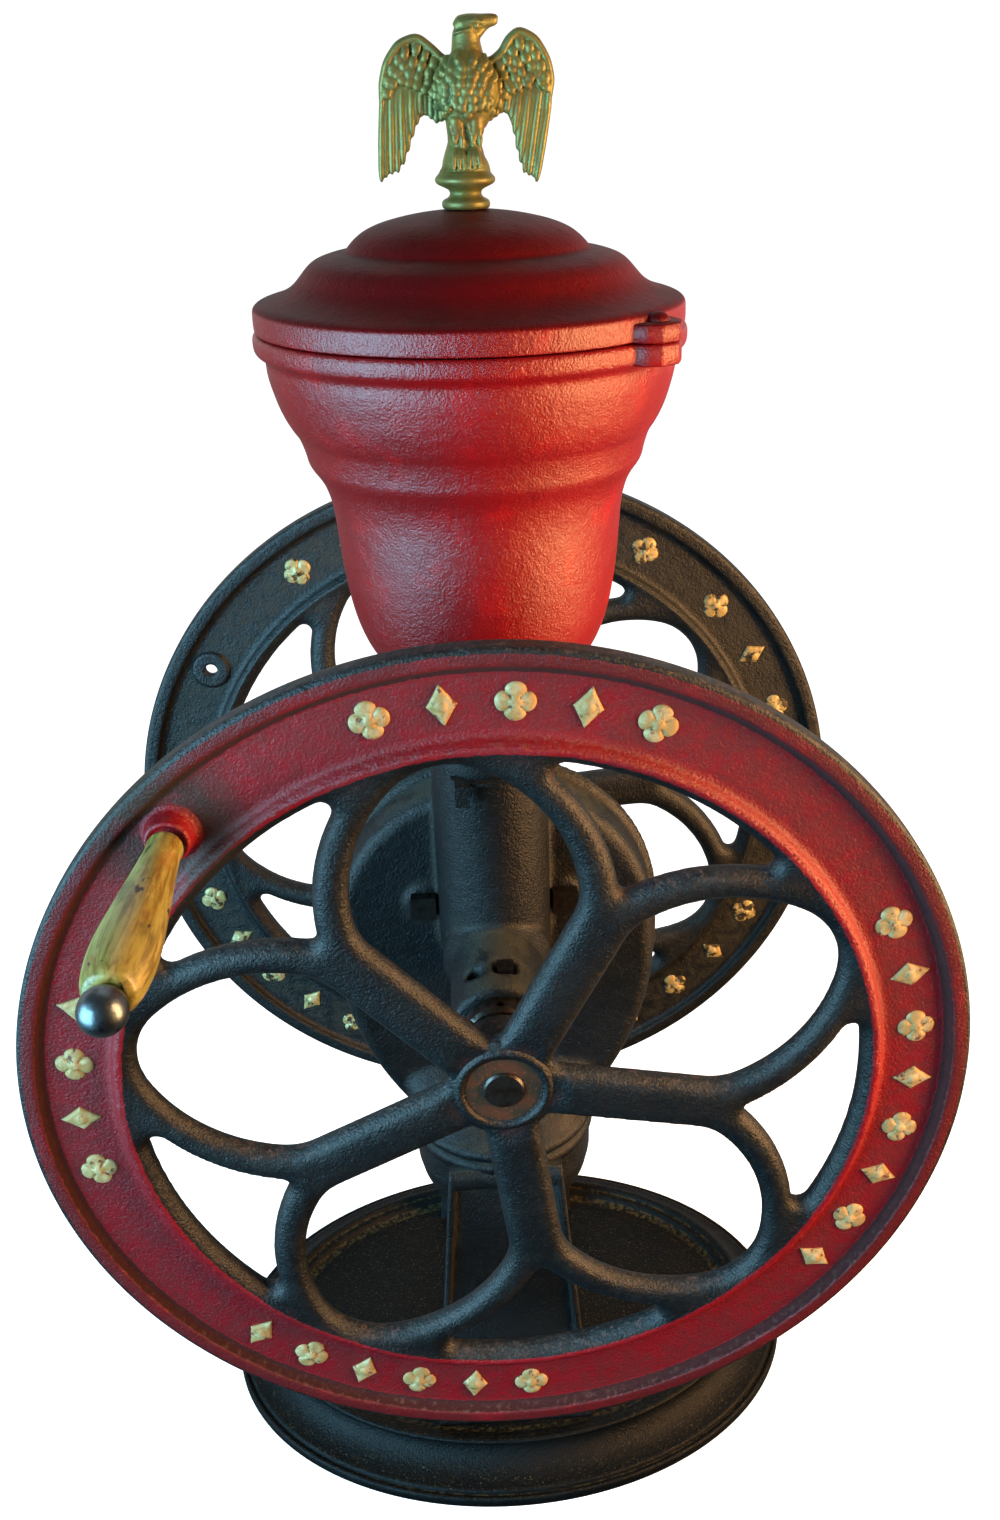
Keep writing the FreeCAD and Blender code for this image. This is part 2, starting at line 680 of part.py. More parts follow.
fixed_burr_r = size("fixed_burr_r", 62)
fixed_burr_thick = size("fixed_burr_thick", 6)
burr_gap = size("burr_gap", 0.8)
burr_r = size("burr_r", 60)
burr_thick = size("burr_thick", 6)
burr_hub_r = size("burr_hub_r", 18)
burr_hub_end = size("burr_hub_end", 18.5)
groove_wide = size("groove_wide", 3)
groove_deep = size("groove_deep", 1.5)
burr_wall = drum_front + drum_wall
burr_face = burr_wall + fixed_burr_thick
burr_head = size("burr_head", 13)
burr_head_high = size("burr_head_high", 6)


def cut_grooves(body, y, inner, outer, reverse):
    """Radial grinding grooves in a burr's face; the outer ends stay open."""
    sketch = new_sketch(body, "XZ_Plane", -y)
    outline(sketch, [(inner, -groove_wide / 2), (outer, -groove_wide / 2), (outer, groove_wide / 2),
                     (inner, groove_wide / 2)])
    cut = pocket(body, sketch, groove_deep, reverse=reverse)
    repeated(body, cut, "Y_Axis", 16)


fixed_burr = new_body("fixed_burr")
ring = new_sketch(fixed_burr, "XZ_Plane", -burr_wall)
circle(ring, 0, 0, fixed_burr_r)
circle(ring, 0, 0, worm_room)
pad(fixed_burr, ring, fixed_burr_thick, reverse=True)
cut_grooves(fixed_burr, burr_face, worm_room + 6, fixed_burr_r + 2, True)
holes = new_sketch(fixed_burr, "XZ_Plane", -burr_wall)
for x, z in burr_spots:
    circle(holes, x, z, burr_bolt_r + press_gap)
pocket(fixed_burr, holes)
place(fixed_burr, z=axle_z)

holes = new_sketch(case_front, "XZ_Plane", -burr_wall)
for x, z in burr_spots:
    circle(holes, x, axle_z + z, burr_bolt_r + press_gap)
pocket(case_front, holes, drum_wall + boss_high, reverse=True)
group("burr_bolts", [
    bolt("burr_bolt", 4, burr_head, burr_head_high, burr_bolt_r, boss_high + drum_wall + fixed_burr_thick - 2,
         (x, drum_front - boss_high, axle_z + z), axis=TOWARDS_REAR[0], turn=TOWARDS_REAR[1])
    for x, z in burr_spots])

rotating_burr = new_body("rotating_burr")
turned(rotating_burr, "YZ_Plane", "H_Axis", [
    (burr_face + burr_gap, shaft_r + press_gap), (burr_hub_end, shaft_r + press_gap),
    (burr_hub_end, burr_hub_r), (burr_face + burr_gap + burr_thick, burr_hub_r),
    (burr_face + burr_gap + burr_thick, burr_r - 3), (burr_face + burr_gap + burr_thick - 3, burr_r),
    (burr_face + burr_gap, burr_r)])
cut_grooves(rotating_burr, burr_face + burr_gap, burr_hub_r + 5, burr_r + 2, False)
burr_pin_r = size("burr_pin_r", 2)
burr_pin_y = (burr_face + burr_gap + burr_thick + burr_hub_end) / 2


def cross_hole(body, y, r):
    """A hole straight across a turned body, through its axis."""
    sketch = new_sketch(body, "XY_Plane")
    circle(sketch, 0, y, r)
    pocket(body, sketch)


cross_hole(rotating_burr, burr_pin_y, burr_pin_r + press_gap)
place(rotating_burr, z=axle_z)

burr_pin = new_body("burr_pin")
section = new_sketch(burr_pin, "XY_Plane", -burr_hub_r + 0.5)
circle(section, 0, burr_pin_y, burr_pin_r)
pad(burr_pin, section, 2 * burr_hub_r - 1)
place(burr_pin, z=axle_z)


# Feed worm: a sleeve with one flight that draws the beans from the throat into the burrs

worm_start = size("worm_start", -34)
worm_end = size("worm_end", -4)
worm_core = size("worm_core", 13)
worm_r = size("worm_r", 19)
worm_pitch = size("worm_pitch", 14)
feed_worm = new_body("feed_worm")
turned(feed_worm, "YZ_Plane", "H_Axis", [
    (worm_start, shaft_r + press_gap), (worm_end, shaft_r + press_gap), (worm_end, worm_core),
    (worm_start, worm_core)])
flight_start = worm_start + 0.5
flight_foot = size("flight_foot", 4)
flight = new_sketch(feed_worm, "YZ_Plane")
outline(flight, [(flight_start, worm_core - 1), (flight_start + flight_foot, worm_core - 1),
                 (flight_start + flight_foot / 2 + 0.5, worm_r), (flight_start + flight_foot / 2 - 0.5, worm_r)])
feature(feed_worm, "AdditiveHelix", Profile=flight, ReferenceAxis=(flight, ["H_Axis"]), Mode=0,
        Pitch=worm_pitch, Height=worm_end - worm_start - 6)
place(feed_worm, z=axle_z)


# Main shaft, its bushes and the adjusting ring

front_wheel_y = size("front_wheel_y", -145)
rear_wheel_y = size("rear_wheel_y", 136)
wheel_thick = size("wheel_thick", 12.2)
hub_long = size("hub_long", 33)
hub_proud = size("hub_proud", 0.8)
shaft_front = front_wheel_y + 0.6
shaft_rear = rear_wheel_y + wheel_thick + 0.6
main_shaft = new_body("main_shaft")
turned(main_shaft, "YZ_Plane", "H_Axis", [
    (shaft_front, 0), (shaft_rear, 0), (shaft_rear, shaft_r - 1), (shaft_rear - 1, shaft_r),
    (shaft_front + 1, shaft_r), (shaft_front, shaft_r - 1)])
cross_hole(main_shaft, burr_pin_y, burr_pin_r + press_gap)
place(main_shaft, z=axle_z)

ring_long = size("ring_long", 9.5)
ring_r = size("ring_r", 19)
for label, start, end in (("front_bush", -(barrel_end + ring_long + 0.4), throat_y - throat_bore - 6.5),
                          ("rear_bush", barrel_end - bush_long + 0.1, barrel_end)):
    bush = new_body(label)
    turned(bush, "YZ_Plane", "H_Axis", [
        (start, shaft_r + running_gap), (end, shaft_r + running_gap), (end, bush_r - press_gap),
        (start, bush_r - press_gap)])
    place(bush, z=axle_z)

adjusting_ring = new_body("adjusting_ring")
ring_back = -(barrel_end + 0.4)
turned(adjusting_ring, "YZ_Plane", "H_Axis", [
    (ring_back - ring_long, bush_r + running_gap), (ring_back, bush_r + running_gap), (ring_back, ring_r),
    (ring_back - ring_long + 1.5, ring_r), (ring_back - ring_long, ring_r - 1.5)])
spanner_hole = new_sketch(adjusting_ring, "XY_Plane", ring_r + 1)
circle(spanner_hole, 0, ring_back - ring_long / 2, 2)
hole = pocket(adjusting_ring, spanner_hole, 4)
repeated(adjusting_ring, hole, "Y_Axis", 4)
place(adjusting_ring, z=axle_z)


# Flywheels: both from one pattern, five forked spokes in a channelled rim

wheel_r = size("wheel_r", 212.6)
edge_wide = size("edge_wide", 7)
channel_deep = size("channel_deep", 5)
back_channel = size("back_channel", 3)
bead_in = size("bead_in", 167.5)
bead_out = size("bead_out", 173)
bead_low = size("bead_low", 0.8)
opening_r = size("opening_r", 163)
spoke_front = size("spoke_front", 1.8)
spoke_back = size("spoke_back", 12.8)
spoke_half = size("spoke_half", 13)
spoke_round = size("spoke_round", 4.8)
gap_corner = size("gap_corner", 5)
gap_knee_x = size("gap_knee_x", 43.5)
gap_knee_y = size("gap_knee_y", 82)
gap_side_x = size("gap_side_x", 48.2)
gap_side_y = size("gap_side_y", 96)
gap_crown_x = size("gap_crown_x", 19.3)
gap_crown_y = size("gap_crown_y", 156)
petal_y = size("petal_y", 113.8)
petal_tip_x = size("petal_tip_x", 2.5)
petal_side_x = size("petal_side_x", 49.8)
petal_side_y = size("petal_side_y", 147.6)
petal_top_x = size("petal_top_x", 49.7)
petal_tip = size("petal_tip", 3)
petal_arm_arc = size("petal_arm_arc", 93.6)
petal_corner = size("petal_corner", 4.05)
gap_side_arc = size("gap_side_arc", 24.7)
gap_arm_arc = size("gap_arm_arc", 73)
gap_crown_arc = size("gap_crown_arc", 32)
hub_r = size("hub_r", 22)
hub_back_r = size("hub_back_r", 20)
hub_recess_r = size("hub_recess_r", 17.6)
hub_recess = size("hub_recess", 2.6)
hub_screw_r = size("hub_screw_r", 4)
hub_screw_back = size("hub_screw_back", 23)
handle_reach = size("handle_reach", 189)
handle_boss_r = size("handle_boss_r", 9.3)
handle_boss_high = size("handle_boss_high", 5)
spare_boss_r = size("spare_boss_r", 11)
stud_r = size("stud_r", 3.5)
SPOKES = 5
HALF_STEP = 180 / SPOKES


def spoke_gap(sketch):
    """The large opening between two spokes: a rounded kite, its point at the hub."""
    apex = spoke_half / sine(HALF_STEP)
    low = gap_corner * cosine(HALF_STEP) / sine(HALF_STEP)
    x, y = low * sine(HALF_STEP), apex + low * cosine(HALF_STEP)
    outline(sketch, [(x, y, gap_corner), (gap_knee_x, gap_knee_y), (gap_side_x, gap_side_y, gap_side_arc),
                     (gap_crown_x, gap_crown_y, gap_arm_arc), (-gap_crown_x, gap_crown_y, gap_crown_arc),
                     (-gap_side_x, gap_side_y, gap_arm_arc), (-gap_knee_x, gap_knee_y, gap_side_arc), (-x, y)])


def petal_gap(sketch):
    """The small opening in a spoke's fork: a fan between the two arms and the rim."""
    top = petal_top_x.value
    top_y = Size(math.sqrt(opening_r.value ** 2 - top ** 2),
                 "sqrt(%s ^ 2 - %s ^ 2)" % (opening_r.text, petal_top_x.text))
    outline(sketch, [(petal_tip_x, petal_y, petal_tip), (petal_side_x, petal_side_y, -petal_arm_arc),
                     (petal_top_x, top_y, petal_corner), (0, opening_r, opening_r),
                     (-petal_top_x, top_y, opening_r), (-petal_side_x, petal_side_y, petal_corner),
                     (-petal_tip_x, petal_y, -petal_arm_arc)])


def flywheel(label, y, first_spoke, hub_forward, boss_r, boss_high):
    """One wheel casting in its own frame: Y 0 is the rim's front face, a spoke points along +Z.

    The hub reaches to the rear, or to the front where hub_forward is true.
    """
    wheel = new_body(label)
    disc = new_sketch(wheel, "XZ_Plane", -spoke_front)
    circle(disc, 0, 0, bead_in + 0.5)
    pad(wheel, disc, spoke_back - spoke_front, reverse=True)
    petal = new_sketch(wheel, "XZ_Plane")
    petal_gap(petal)
    repeated(wheel, pocket(wheel, petal), "Y_Axis", SPOKES)
    kite = new_sketch(wheel, "XZ_Plane")
    spoke_gap(kite)
    kite.AttachmentOffset = FreeCAD.Placement(V(0, 0, 0), FreeCAD.Rotation(V(0, 0, 1), HALF_STEP))
    repeated(wheel, pocket(wheel, kite), "Y_Axis", SPOKES)
    rounded(wheel, spoke_round, lambda edge: all_at(
        edge, lambda p: math.hypot(p.x, p.z) < bead_in.value
        and min(abs(p.y - spoke_front.value), abs(p.y - spoke_back.value)) < 0.01))
    turned(wheel, "YZ_Plane", "H_Axis", [
        (spoke_front + 2, opening_r + 3), (bead_low + 0.6, bead_in), (bead_low, bead_in + 1.5, -1.8),
        (bead_low, bead_out - 2.5), (bead_low + 1, bead_out - 1, -1.8),
        (channel_deep, bead_out), (channel_deep, wheel_r - edge_wide - 2.5), (1.5, wheel_r - edge_wide - 0.5),
        (0, wheel_r - edge_wide + 1.2, -2.2), (0, wheel_r - 1.5), (1.5, wheel_r, -1.5),
        (wheel_thick - 1.5, wheel_r), (wheel_thick, wheel_r - 1.5, -1.5), (wheel_thick, wheel_r - edge_wide),
        (wheel_thick - back_channel, wheel_r - edge_wide - 2), (wheel_thick - back_channel, bead_out + 2),
        (wheel_thick, bead_out), (wheel_thick, opening_r + 3)])
    near = (wheel_thick - hub_long + 1) if hub_forward else spoke_front - hub_proud
    far = (wheel_thick + 0.6) if hub_forward else near + hub_long
    r_near, r_far = (hub_back_r, hub_r) if hub_forward else (hub_r, hub_back_r)
    recess_from, recess_to = (far - hub_recess, far) if hub_forward else (near, near + hub_recess)
    turned(wheel, "YZ_Plane", "H_Axis", [
        (near, 0), (far, 0), (far, r_far - 1.5), (far - 1.5, r_far), (near + 1.5, r_near),
        (near, r_near - 1.5)])
    turned(wheel, "YZ_Plane", "H_Axis", [
        (near - 1, 0), (far + 1, 0), (far + 1, shaft_r + press_gap), (near - 1, shaft_r + press_gap)],
        cut=True)
    turned(wheel, "YZ_Plane", "H_Axis", [
        (recess_from, shaft_r), (recess_to, shaft_r), (recess_to, hub_recess_r),
        (recess_from, hub_recess_r)], cut=True)
    boss = new_sketch(wheel, "XZ_Plane", -channel_deep - 1)
    circle(boss, 0, handle_reach, boss_r)
    pad(wheel, boss, boss_high + 1)
    hole = new_sketch(wheel, "XZ_Plane")
    circle(hole, 0, handle_reach, stud_r + press_gap)
    pocket(wheel, hole)
    screw = new_sketch(wheel, "XY_Plane")
    screw_y = (near + 10) if hub_forward else (near + hub_screw_back)
    circle(screw, 0, screw_y, hub_screw_r + press_gap)
    cut = pocket(wheel, screw, hub_r + 2, reverse=True)
    place(wheel, y=y, z=axle_z, axis=(0, -1, 0), turn=first_spoke - 90)
    return near, far, recess_from, screw_y


front_spoke = size("front_spoke", 133.6)
rear_spoke = size("rear_spoke", 148.9)
front_hub = flywheel("front_wheel", front_wheel_y, front_spoke, False, handle_boss_r,
                     channel_deep + handle_boss_high)
rear_hub = flywheel("rear_wheel", rear_wheel_y, rear_spoke, True, spare_boss_r, channel_deep - 3)


# Hub rings and the hubs' set screws

hub_ring_r = size("hub_ring_r", 17.3)
hub_ring_thick = size("hub_ring_thick", 1.6)
for label, y, hub, spoke in (("front_hub", front_wheel_y, front_hub, front_spoke),
                             ("rear_hub", rear_wheel_y, rear_hub, rear_spoke)):
    near, far, recess, screw_y = hub
    recess_bottom = recess if label == "rear_hub" else near + hub_recess - hub_ring_thick
    ring = new_body(label + "_ring")
    turned(ring, "YZ_Plane", "H_Axis", [
        (recess_bottom, shaft_r + press_gap), (recess_bottom + hub_ring_thick, shaft_r + press_gap),
        (recess_bottom + hub_ring_thick, hub_ring_r), (recess_bottom, hub_ring_r)])
    place(ring, y=y, z=axle_z)
    holder = bolt(label + "_set_screw", 4, screw_head, screw_head_high, hub_screw_r, hub_r - shaft_r - 0.2,
                  (0, 0, 0))
    angle = spoke.value
    place(holder, hub_r * cosine(spoke), y + screw_y, axle_z + hub_r * sine(spoke))
    holder.Placement = FreeCAD.Placement(holder.Placement.Base, FreeCAD.Rotation(
        V(0, 0, 1), V(-math.cos(math.radians(angle)), 0, -math.sin(math.radians(angle)))))
    group(label + "_screw", [holder])


# Raised gilt ornaments in the rims' channels: four-petal rosettes and lozenges in turn

ornament_ring = size("ornament_ring", 188.5)
ornament_high = size("ornament_high", 1.6)
petal_r = size("petal_r", 3.1)
petal_out = size("petal_out", 3.4)
lozenge_half = size("lozenge_half", 7)
lozenge_wide = size("lozenge_wide", 3.6)


def ornaments(label, wheel_y, arcs):
    """Evenly spaced rosettes and lozenges over arcs given as (first angle, last angle, count)."""
    solids = []
    thick = ornament_high.value
    for first, last, count in arcs:
        for number_in_arc in range(count):
            angle = math.radians(first + (last - first) * number_in_arc / max(count - 1, 1))
            if number_in_arc % 2:
                half, wide = lozenge_half.value, lozenge_wide.value
                corners = [V(0, 0, half), V(wide, 0, 0), V(0, 0, -half), V(-wide, 0, 0), V(0, 0, half)]
                shape = Part.Face(Part.makePolygon(corners)).extrude(V(0, -thick, 0))
            else:
                out = petal_out.value
                petals = [Part.makeCylinder(petal_r.value, thick, V(x, 0, z), V(0, -1, 0))
                          for x, z in ((out, 0), (0, out), (-out, 0), (0, -out))]
                shape = petals[0].multiFuse(petals[1:]).removeSplitter()
            shape.Placement = FreeCAD.Placement(
                V(ornament_ring.value * math.cos(angle), 0, ornament_ring.value * math.sin(angle)),
                FreeCAD.Rotation(V(0, -1, 0), math.degrees(angle) - 90))
            solids.append(shape)
    item = doc.addObject("Part::Feature", label)
    item.Label = label
    item.Shape = Part.makeCompound(solids)
    item.Placement = FreeCAD.Placement(V(0, (wheel_y + channel_deep).value, axle_z.value), FreeCAD.Rotation())
    pieces.append(item)


ornaments("front_ornaments", front_wheel_y, [(104.5, 69, 5), (24, -37.5, 8), (-87.5, -131, 6), (190.5, 163.5, 4)])
ornaments("rear_ornaments", rear_wheel_y, [(124, 59, 7), (42, 18, 3), (-28, -61, 4), (239, 198.5, 5)])


# Handle: a steel stud through the rim, a turned wooden grip that spins on it, and a steel end cap

grip_start = size("grip_start", -150.9)
grip_long = size("grip_long", 105)
grip_thin = size("grip_thin", 7.5)
grip_fat = size("grip_fat", 12.2)
cap_r = size("cap_r", 8.4)
cap_gap = size("cap_gap", 0.8)
nut_across = size("nut_across", 12)
nut_high = size("nut_high", 5)
handle_x = handle_reach * cosine(front_spoke)
handle_z = axle_z + handle_reach * sine(front_spoke)
grip_end = grip_start - grip_long

handle_stud = new_body("handle_stud")
stud_end = grip_end - cap_gap - cap_r
turned(handle_stud, "YZ_Plane", "H_Axis", [
    (stud_end, 0), (front_wheel_y + wheel_thick + nut_high + 1.5, 0),
    (front_wheel_y + wheel_thick + nut_high + 1.5, stud_r), (stud_end, stud_r)])
place(handle_stud, x=handle_x, z=handle_z)

handle_nut = new_body("handle_nut")
nut = new_sketch(handle_nut, "XZ_Plane", -(front_wheel_y + wheel_thick + 0.05))
corner_r = nut_across / math.sqrt(3)
outline(nut, [(corner_r * cosine(60 * side), corner_r * sine(60 * side)) for side in range(6)])
circle(nut, 0, 0, stud_r + press_gap)
pad(handle_nut, nut, nut_high, reverse=True)
place(handle_nut, x=handle_x, z=handle_z)

handle_grip = new_body("handle_grip")
grip_bore = stud_r + running_gap
turned(handle_grip, "YZ_Plane", "H_Axis", [
    (grip_end, grip_bore), (grip_end, grip_fat - 3.6), (grip_end + 3, grip_fat - 1.6, -5),
    (grip_end + grip_long * 0.28, grip_fat, -45), (grip_start - grip_long * 0.36, grip_thin + 2.4, -150),
    (grip_start - 8, grip_thin, 150), (grip_start - 1.5, grip_thin), (grip_start, grip_thin - 1.5),
    (grip_start, grip_bore)])
place(handle_grip, x=handle_x, z=handle_z)

grip_cap = new_body("grip_cap")
cap_back = grip_end - cap_gap
cap_middle = cap_back - cap_r * 0.85
turned(grip_cap, "YZ_Plane", "H_Axis", [
    (cap_back, stud_r + press_gap), (cap_back, 6), (cap_back - 2, 7.3), (cap_middle, cap_r, cap_r),
    (cap_middle - cap_r, 0, cap_r), (stud_end - 0.2, 0), (stud_end - 0.2, stud_r + press_gap)])
place(grip_cap, x=handle_x, z=handle_z)


# Hopper: a thin bell casting whose outline is given by its stations from the rim down

hopper_wall = size("hopper_wall", 4)
lid_gap = size("lid_gap", 0.6)
hopper_bore = size("hopper_bore", 18.5)
hopper_flange = size("hopper_flange", 7)
hopper_stations = []
for name, r, z in (("top", 96.3, 608.5), ("band_top", 97.4, 607), ("band_low", 97.4, 597),
                   ("band_foot", 96, 594.6), ("step", 91.2, 592.4), ("collar", 88.5, 588),
                   ("bulge", 87, 578), ("swell", 83, 567), ("shoulder", 80, 564), ("bead_top", 77.4, 556),
                   ("bead_low", 76.6, 551), ("under_bead", 72, 545), ("upper_waist", 69.2, 539),
                   ("waist", 67, 530), ("body", 65.2, 505), ("lower_body", 63.6, 492),
                   ("tuck", 61, 478), ("bowl", 57, 466), ("bowl_low", 52, 457), ("turn", 44, 447),
                   ("neck", 38, 441)):
    hopper_stations.append((name, size("hopper_%s_r" % name, r), size("hopper_%s_z" % name, z)))
skin = [(r, z) for name, r, z in hopper_stations]
lining = [(r - hopper_wall, z + (hopper_wall * 0.7 if number(z) < 480 else 0)) for name, r, z in hopper_stations
          if name not in ("top", "band_top", "band_low", "band_foot")]
rim_bore = hopper_stations[4][1] - hopper_wall
lug_angle = size("lug_angle", -39)
lug_ring = size("lug_ring", 94)
lug_r = size("lug_r", 12.5)
lug_high = size("lug_high", 8.5)
lug_x = lug_ring * cosine(lug_angle)
lug_y = lug_ring * sine(lug_angle)
pin_ring = size("pin_ring", 97.5)
pin_x = pin_ring * cosine(lug_angle)
pin_y = pin_ring * sine(lug_angle)
pin_r = size("pin_r", 3.5)
pin_head_r = size("pin_head_r", 4.8)
hopper_top = hopper_stations[0][2]

hopper = new_body("hopper")
lug = new_sketch(hopper, "XY_Plane", hopper_top)
circle(lug, lug_x, lug_y, lug_r)
pad(hopper, lug, lug_high, reverse=True)
hollow = new_sketch(hopper, "XY_Plane", hopper_top + 1)
circle(hollow, 0, 0, rim_bore + 1)
pocket(hopper, hollow, lug_high + 3)
turned(hopper, "XZ_Plane", "V_Axis", (
    skin + [(hopper_stations[-1][1], throat_top + hopper_flange), (flange_half, throat_top + hopper_flange),
            (flange_half, throat_top), (hopper_bore, throat_top), (hopper_bore, throat_top + hopper_flange)]
    + lining[::-1] + [(rim_bore, hopper_top - 10), (rim_bore, hopper_top)]))
pin_hole = new_sketch(hopper, "XY_Plane", hopper_top)
circle(pin_hole, pin_x, pin_y, pin_r + press_gap)
pocket(hopper, pin_hole, lug_high + 2)

flange_bolt_ring = size("flange_bolt_ring", 39)
flange_bolt_r = size("flange_bolt_r", 2.5)
flange_spots = [(flange_bolt_ring * cosine(angle), flange_bolt_ring * sine(angle))
                for angle in (-20, 60, 120, 200)]
for body, deep, up in ((hopper, hopper_flange, True), (case_front, flange_low, False)):
    holes = new_sketch(body, "XY_Plane", throat_top)
    for x, y in flange_spots:
        circle(holes, x, y, flange_bolt_r + running_gap)
    pocket(body, holes, deep, reverse=up)
flange_head = size("flange_head", 8)
flange_head_high = size("flange_head_high", 3)
group("hopper_bolts", [
    bolt("hopper_bolt", 6, flange_head, flange_head_high, flange_bolt_r, hopper_flange + flange_low - 0.5,
         (x, y, throat_top - flange_low)) for x, y in flange_spots])


# Lid: a stepped dome that turns aside on the pivot pin

lid_z = hopper_top + lid_gap
lid_r = size("lid_r", 95)
lid_wall = size("lid_wall", 4)
lid_rim_high = size("lid_rim_high", 10)
lid_outline = []
for name, r, up in (("ledge", 91.5, 11.3), ("ledge_in", 77, 17), ("step", 70.5, 25), ("step_top", 62.5, 29.4),
                    ("saddle", 54.5, 30.8), ("dome_foot", 51.5, 33.5), ("dome", 45, 39), ("crown", 30, 44),
                    ("crown_top", 10, 46.9)):
    lid_outline.append((size("lid_%s_r" % name, r), size("lid_%s_up" % name, up)))
crown_z = lid_z + lid_outline[-1][1]
lid_arcs = {1: -110, 2: 60, 3: 14, 5: -6, 6: 14, 7: 42, 8: 90}
over = [(r, lid_z + up) for r, up in lid_outline]
under = [(r - 2.5, lid_z + up - lid_wall) for r, up in lid_outline[:-1]]
lid = new_body("lid")
turned(lid, "XZ_Plane", "V_Axis", [
    (0, lid_z + lid_outline[-1][1] - lid_wall)] + under[::-1] + [
    (lid_r - lid_wall - 2, lid_z), (lid_r - 0.8, lid_z), (lid_r, lid_z + 0.8), (lid_r, lid_z + 8.5),
    (over[0][0], over[0][1], 3)] + [
    point + ((lid_arcs[i + 1],) if i + 1 in lid_arcs else ()) for i, point in enumerate(over[1:])] + [
    (0, crown_z)])
lid_lug = new_sketch(lid, "XY_Plane", lid_z)
circle(lid_lug, lug_x, lug_y, lug_r)
pad(lid, lid_lug, lug_high - 1)
lid_hole = new_sketch(lid, "XY_Plane", lid_z)
circle(lid_hole, pin_x, pin_y, pin_r + running_gap)
pocket(lid, lid_hole)
spot_face = new_sketch(lid, "XY_Plane", lid_z + lug_high - 1)
circle(spot_face, pin_x, pin_y, pin_head_r + 1.5)
pocket(lid, spot_face, lid_rim_high, reverse=True)
stud_hole = new_sketch(lid, "XY_Plane", crown_z)
finial_stud_r = size("finial_stud_r", 3)
circle(stud_hole, 0, 0, finial_stud_r + press_gap)
pocket(lid, stud_hole, 20)

lid_pin = new_body("lid_pin")
pin_low = lug_high - 0.5
pin_head_high = size("pin_head_high", 3.5)
head_z = lid_z + lug_high - 0.7
turned(lid_pin, "XZ_Plane", "V_Axis", [
    (0, hopper_top - pin_low), (pin_r, hopper_top - pin_low), (pin_r, head_z), (pin_head_r, head_z),
    (0, head_z + pin_head_high, (pin_head_r * pin_head_r + pin_head_high * pin_head_high) / (2 * pin_head_high))])
place(lid_pin, x=pin_x, y=pin_y)


# Eagle finial: a bird with raised wings on a turned spindle

eagle_thick = size("eagle_thick", 5)
finial = new_body("eagle_finial")
turned(finial, "XZ_Plane", "V_Axis", [
    (0, crown_z - 12), (finial_stud_r, crown_z - 12), (finial_stud_r, crown_z + 0.05), (9.6, crown_z + 0.05),
    (10.2, crown_z + 1.5), (9.6, crown_z + 3.2), (7.4, crown_z + 4.6), (6.8, crown_z + 6.6),
    (8.2, crown_z + 8.6), (12.2, crown_z + 11), (12.5, crown_z + 13), (10.5, crown_z + 15),
    (8, crown_z + 18), (0, crown_z + 18)])
bird = []
for up, across, along, lean in ((16, 9, 7, 0), (24, 7.4, 6.6, 0.5), (32, 9.4, 8, 0.8), (42, 13.6, 10.4, 0),
                                (50, 13.2, 9.8, -0.5), (57, 8.8, 7.4, -1), (62, 6.2, 6, -1.4),
                                (67, 6.6, 6.2, -1.8), (71.5, 5.6, 5.4, -2), (74.3, 2.6, 2.6, -2)):
    section = new_sketch(finial, "XY_Plane", crown_z + up)
    ellipse(section, across, along, lean)
    bird.append(section)
lofted(finial, bird, ruled=False)
beak = new_sketch(finial, "XZ_Plane", 3.4)
outline(beak, [(3, crown_z + 66), (8, crown_z + 66.5), (13, crown_z + 65.6), (14.6, crown_z + 67.4),
               (12.5, crown_z + 70.6), (8, crown_z + 72.6), (3, crown_z + 72.6)])
pad(finial, beak, 3.6, reverse=True)
wing_points = [(7, 40), (15, 38), (19, 32), (24, 26), (28.5, 18), (33, 11.4), (36.5, 13, 3), (38.4, 30),
               (38, 48, 120), (33.5, 63, 40), (26, 69.6, 14), (19.5, 68, 9), (13, 58.4), (7, 58)]
for mirror in (1, -1):
    wing = new_sketch(finial, "XZ_Plane", -eagle_thick / 2)
    lean = 0 if mirror > 0 else -1.4
    outline(wing, [(mirror * x + lean, crown_z + z) + tuple(mirror * r for r in radius)
                   for x, z, *radius in wing_points])
    pad(finial, wing, eagle_thick)

finial_nut = new_body("finial_nut")
nut = new_sketch(finial_nut, "XY_Plane", crown_z - lid_wall - nut_high - 1.2)
corner_r = nut_across / math.sqrt(3)
outline(nut, [(corner_r * cosine(60 * side), corner_r * sine(60 * side)) for side in range(6)])
circle(nut, 0, 0, finial_stud_r + press_gap)
pad(finial_nut, nut, nut_high)


# Checks, then one STEP file for each piece

doc.recompute()
problems = []
for item in doc.Objects:
    if "Invalid" in item.State or "Error" in item.State:
        problems.append("%s: %s" % (item.Label, item.getStatusString()))
for item in pieces:
    if item.Shape.isNull() or not item.Shape.isValid() or not item.Shape.Solids:
        problems.append(item.Label + ": no valid solid")
if problems:
    raise SystemExit("\n".join(problems))
os.makedirs("parts", exist_ok=True)
for item in pieces:
    item.Shape.exportStep("parts/%s.step" % item.Label)
    box = item.Shape.BoundBox
    print("%-17s %2d solid  volume %9.0f  X %7.1f %7.1f  Y %7.1f %7.1f  Z %6.1f %6.1f" % (
        item.Label, len(item.Shape.Solids), item.Shape.Volume, box.XMin, box.XMax, box.YMin, box.YMax,
        box.ZMin, box.ZMax))
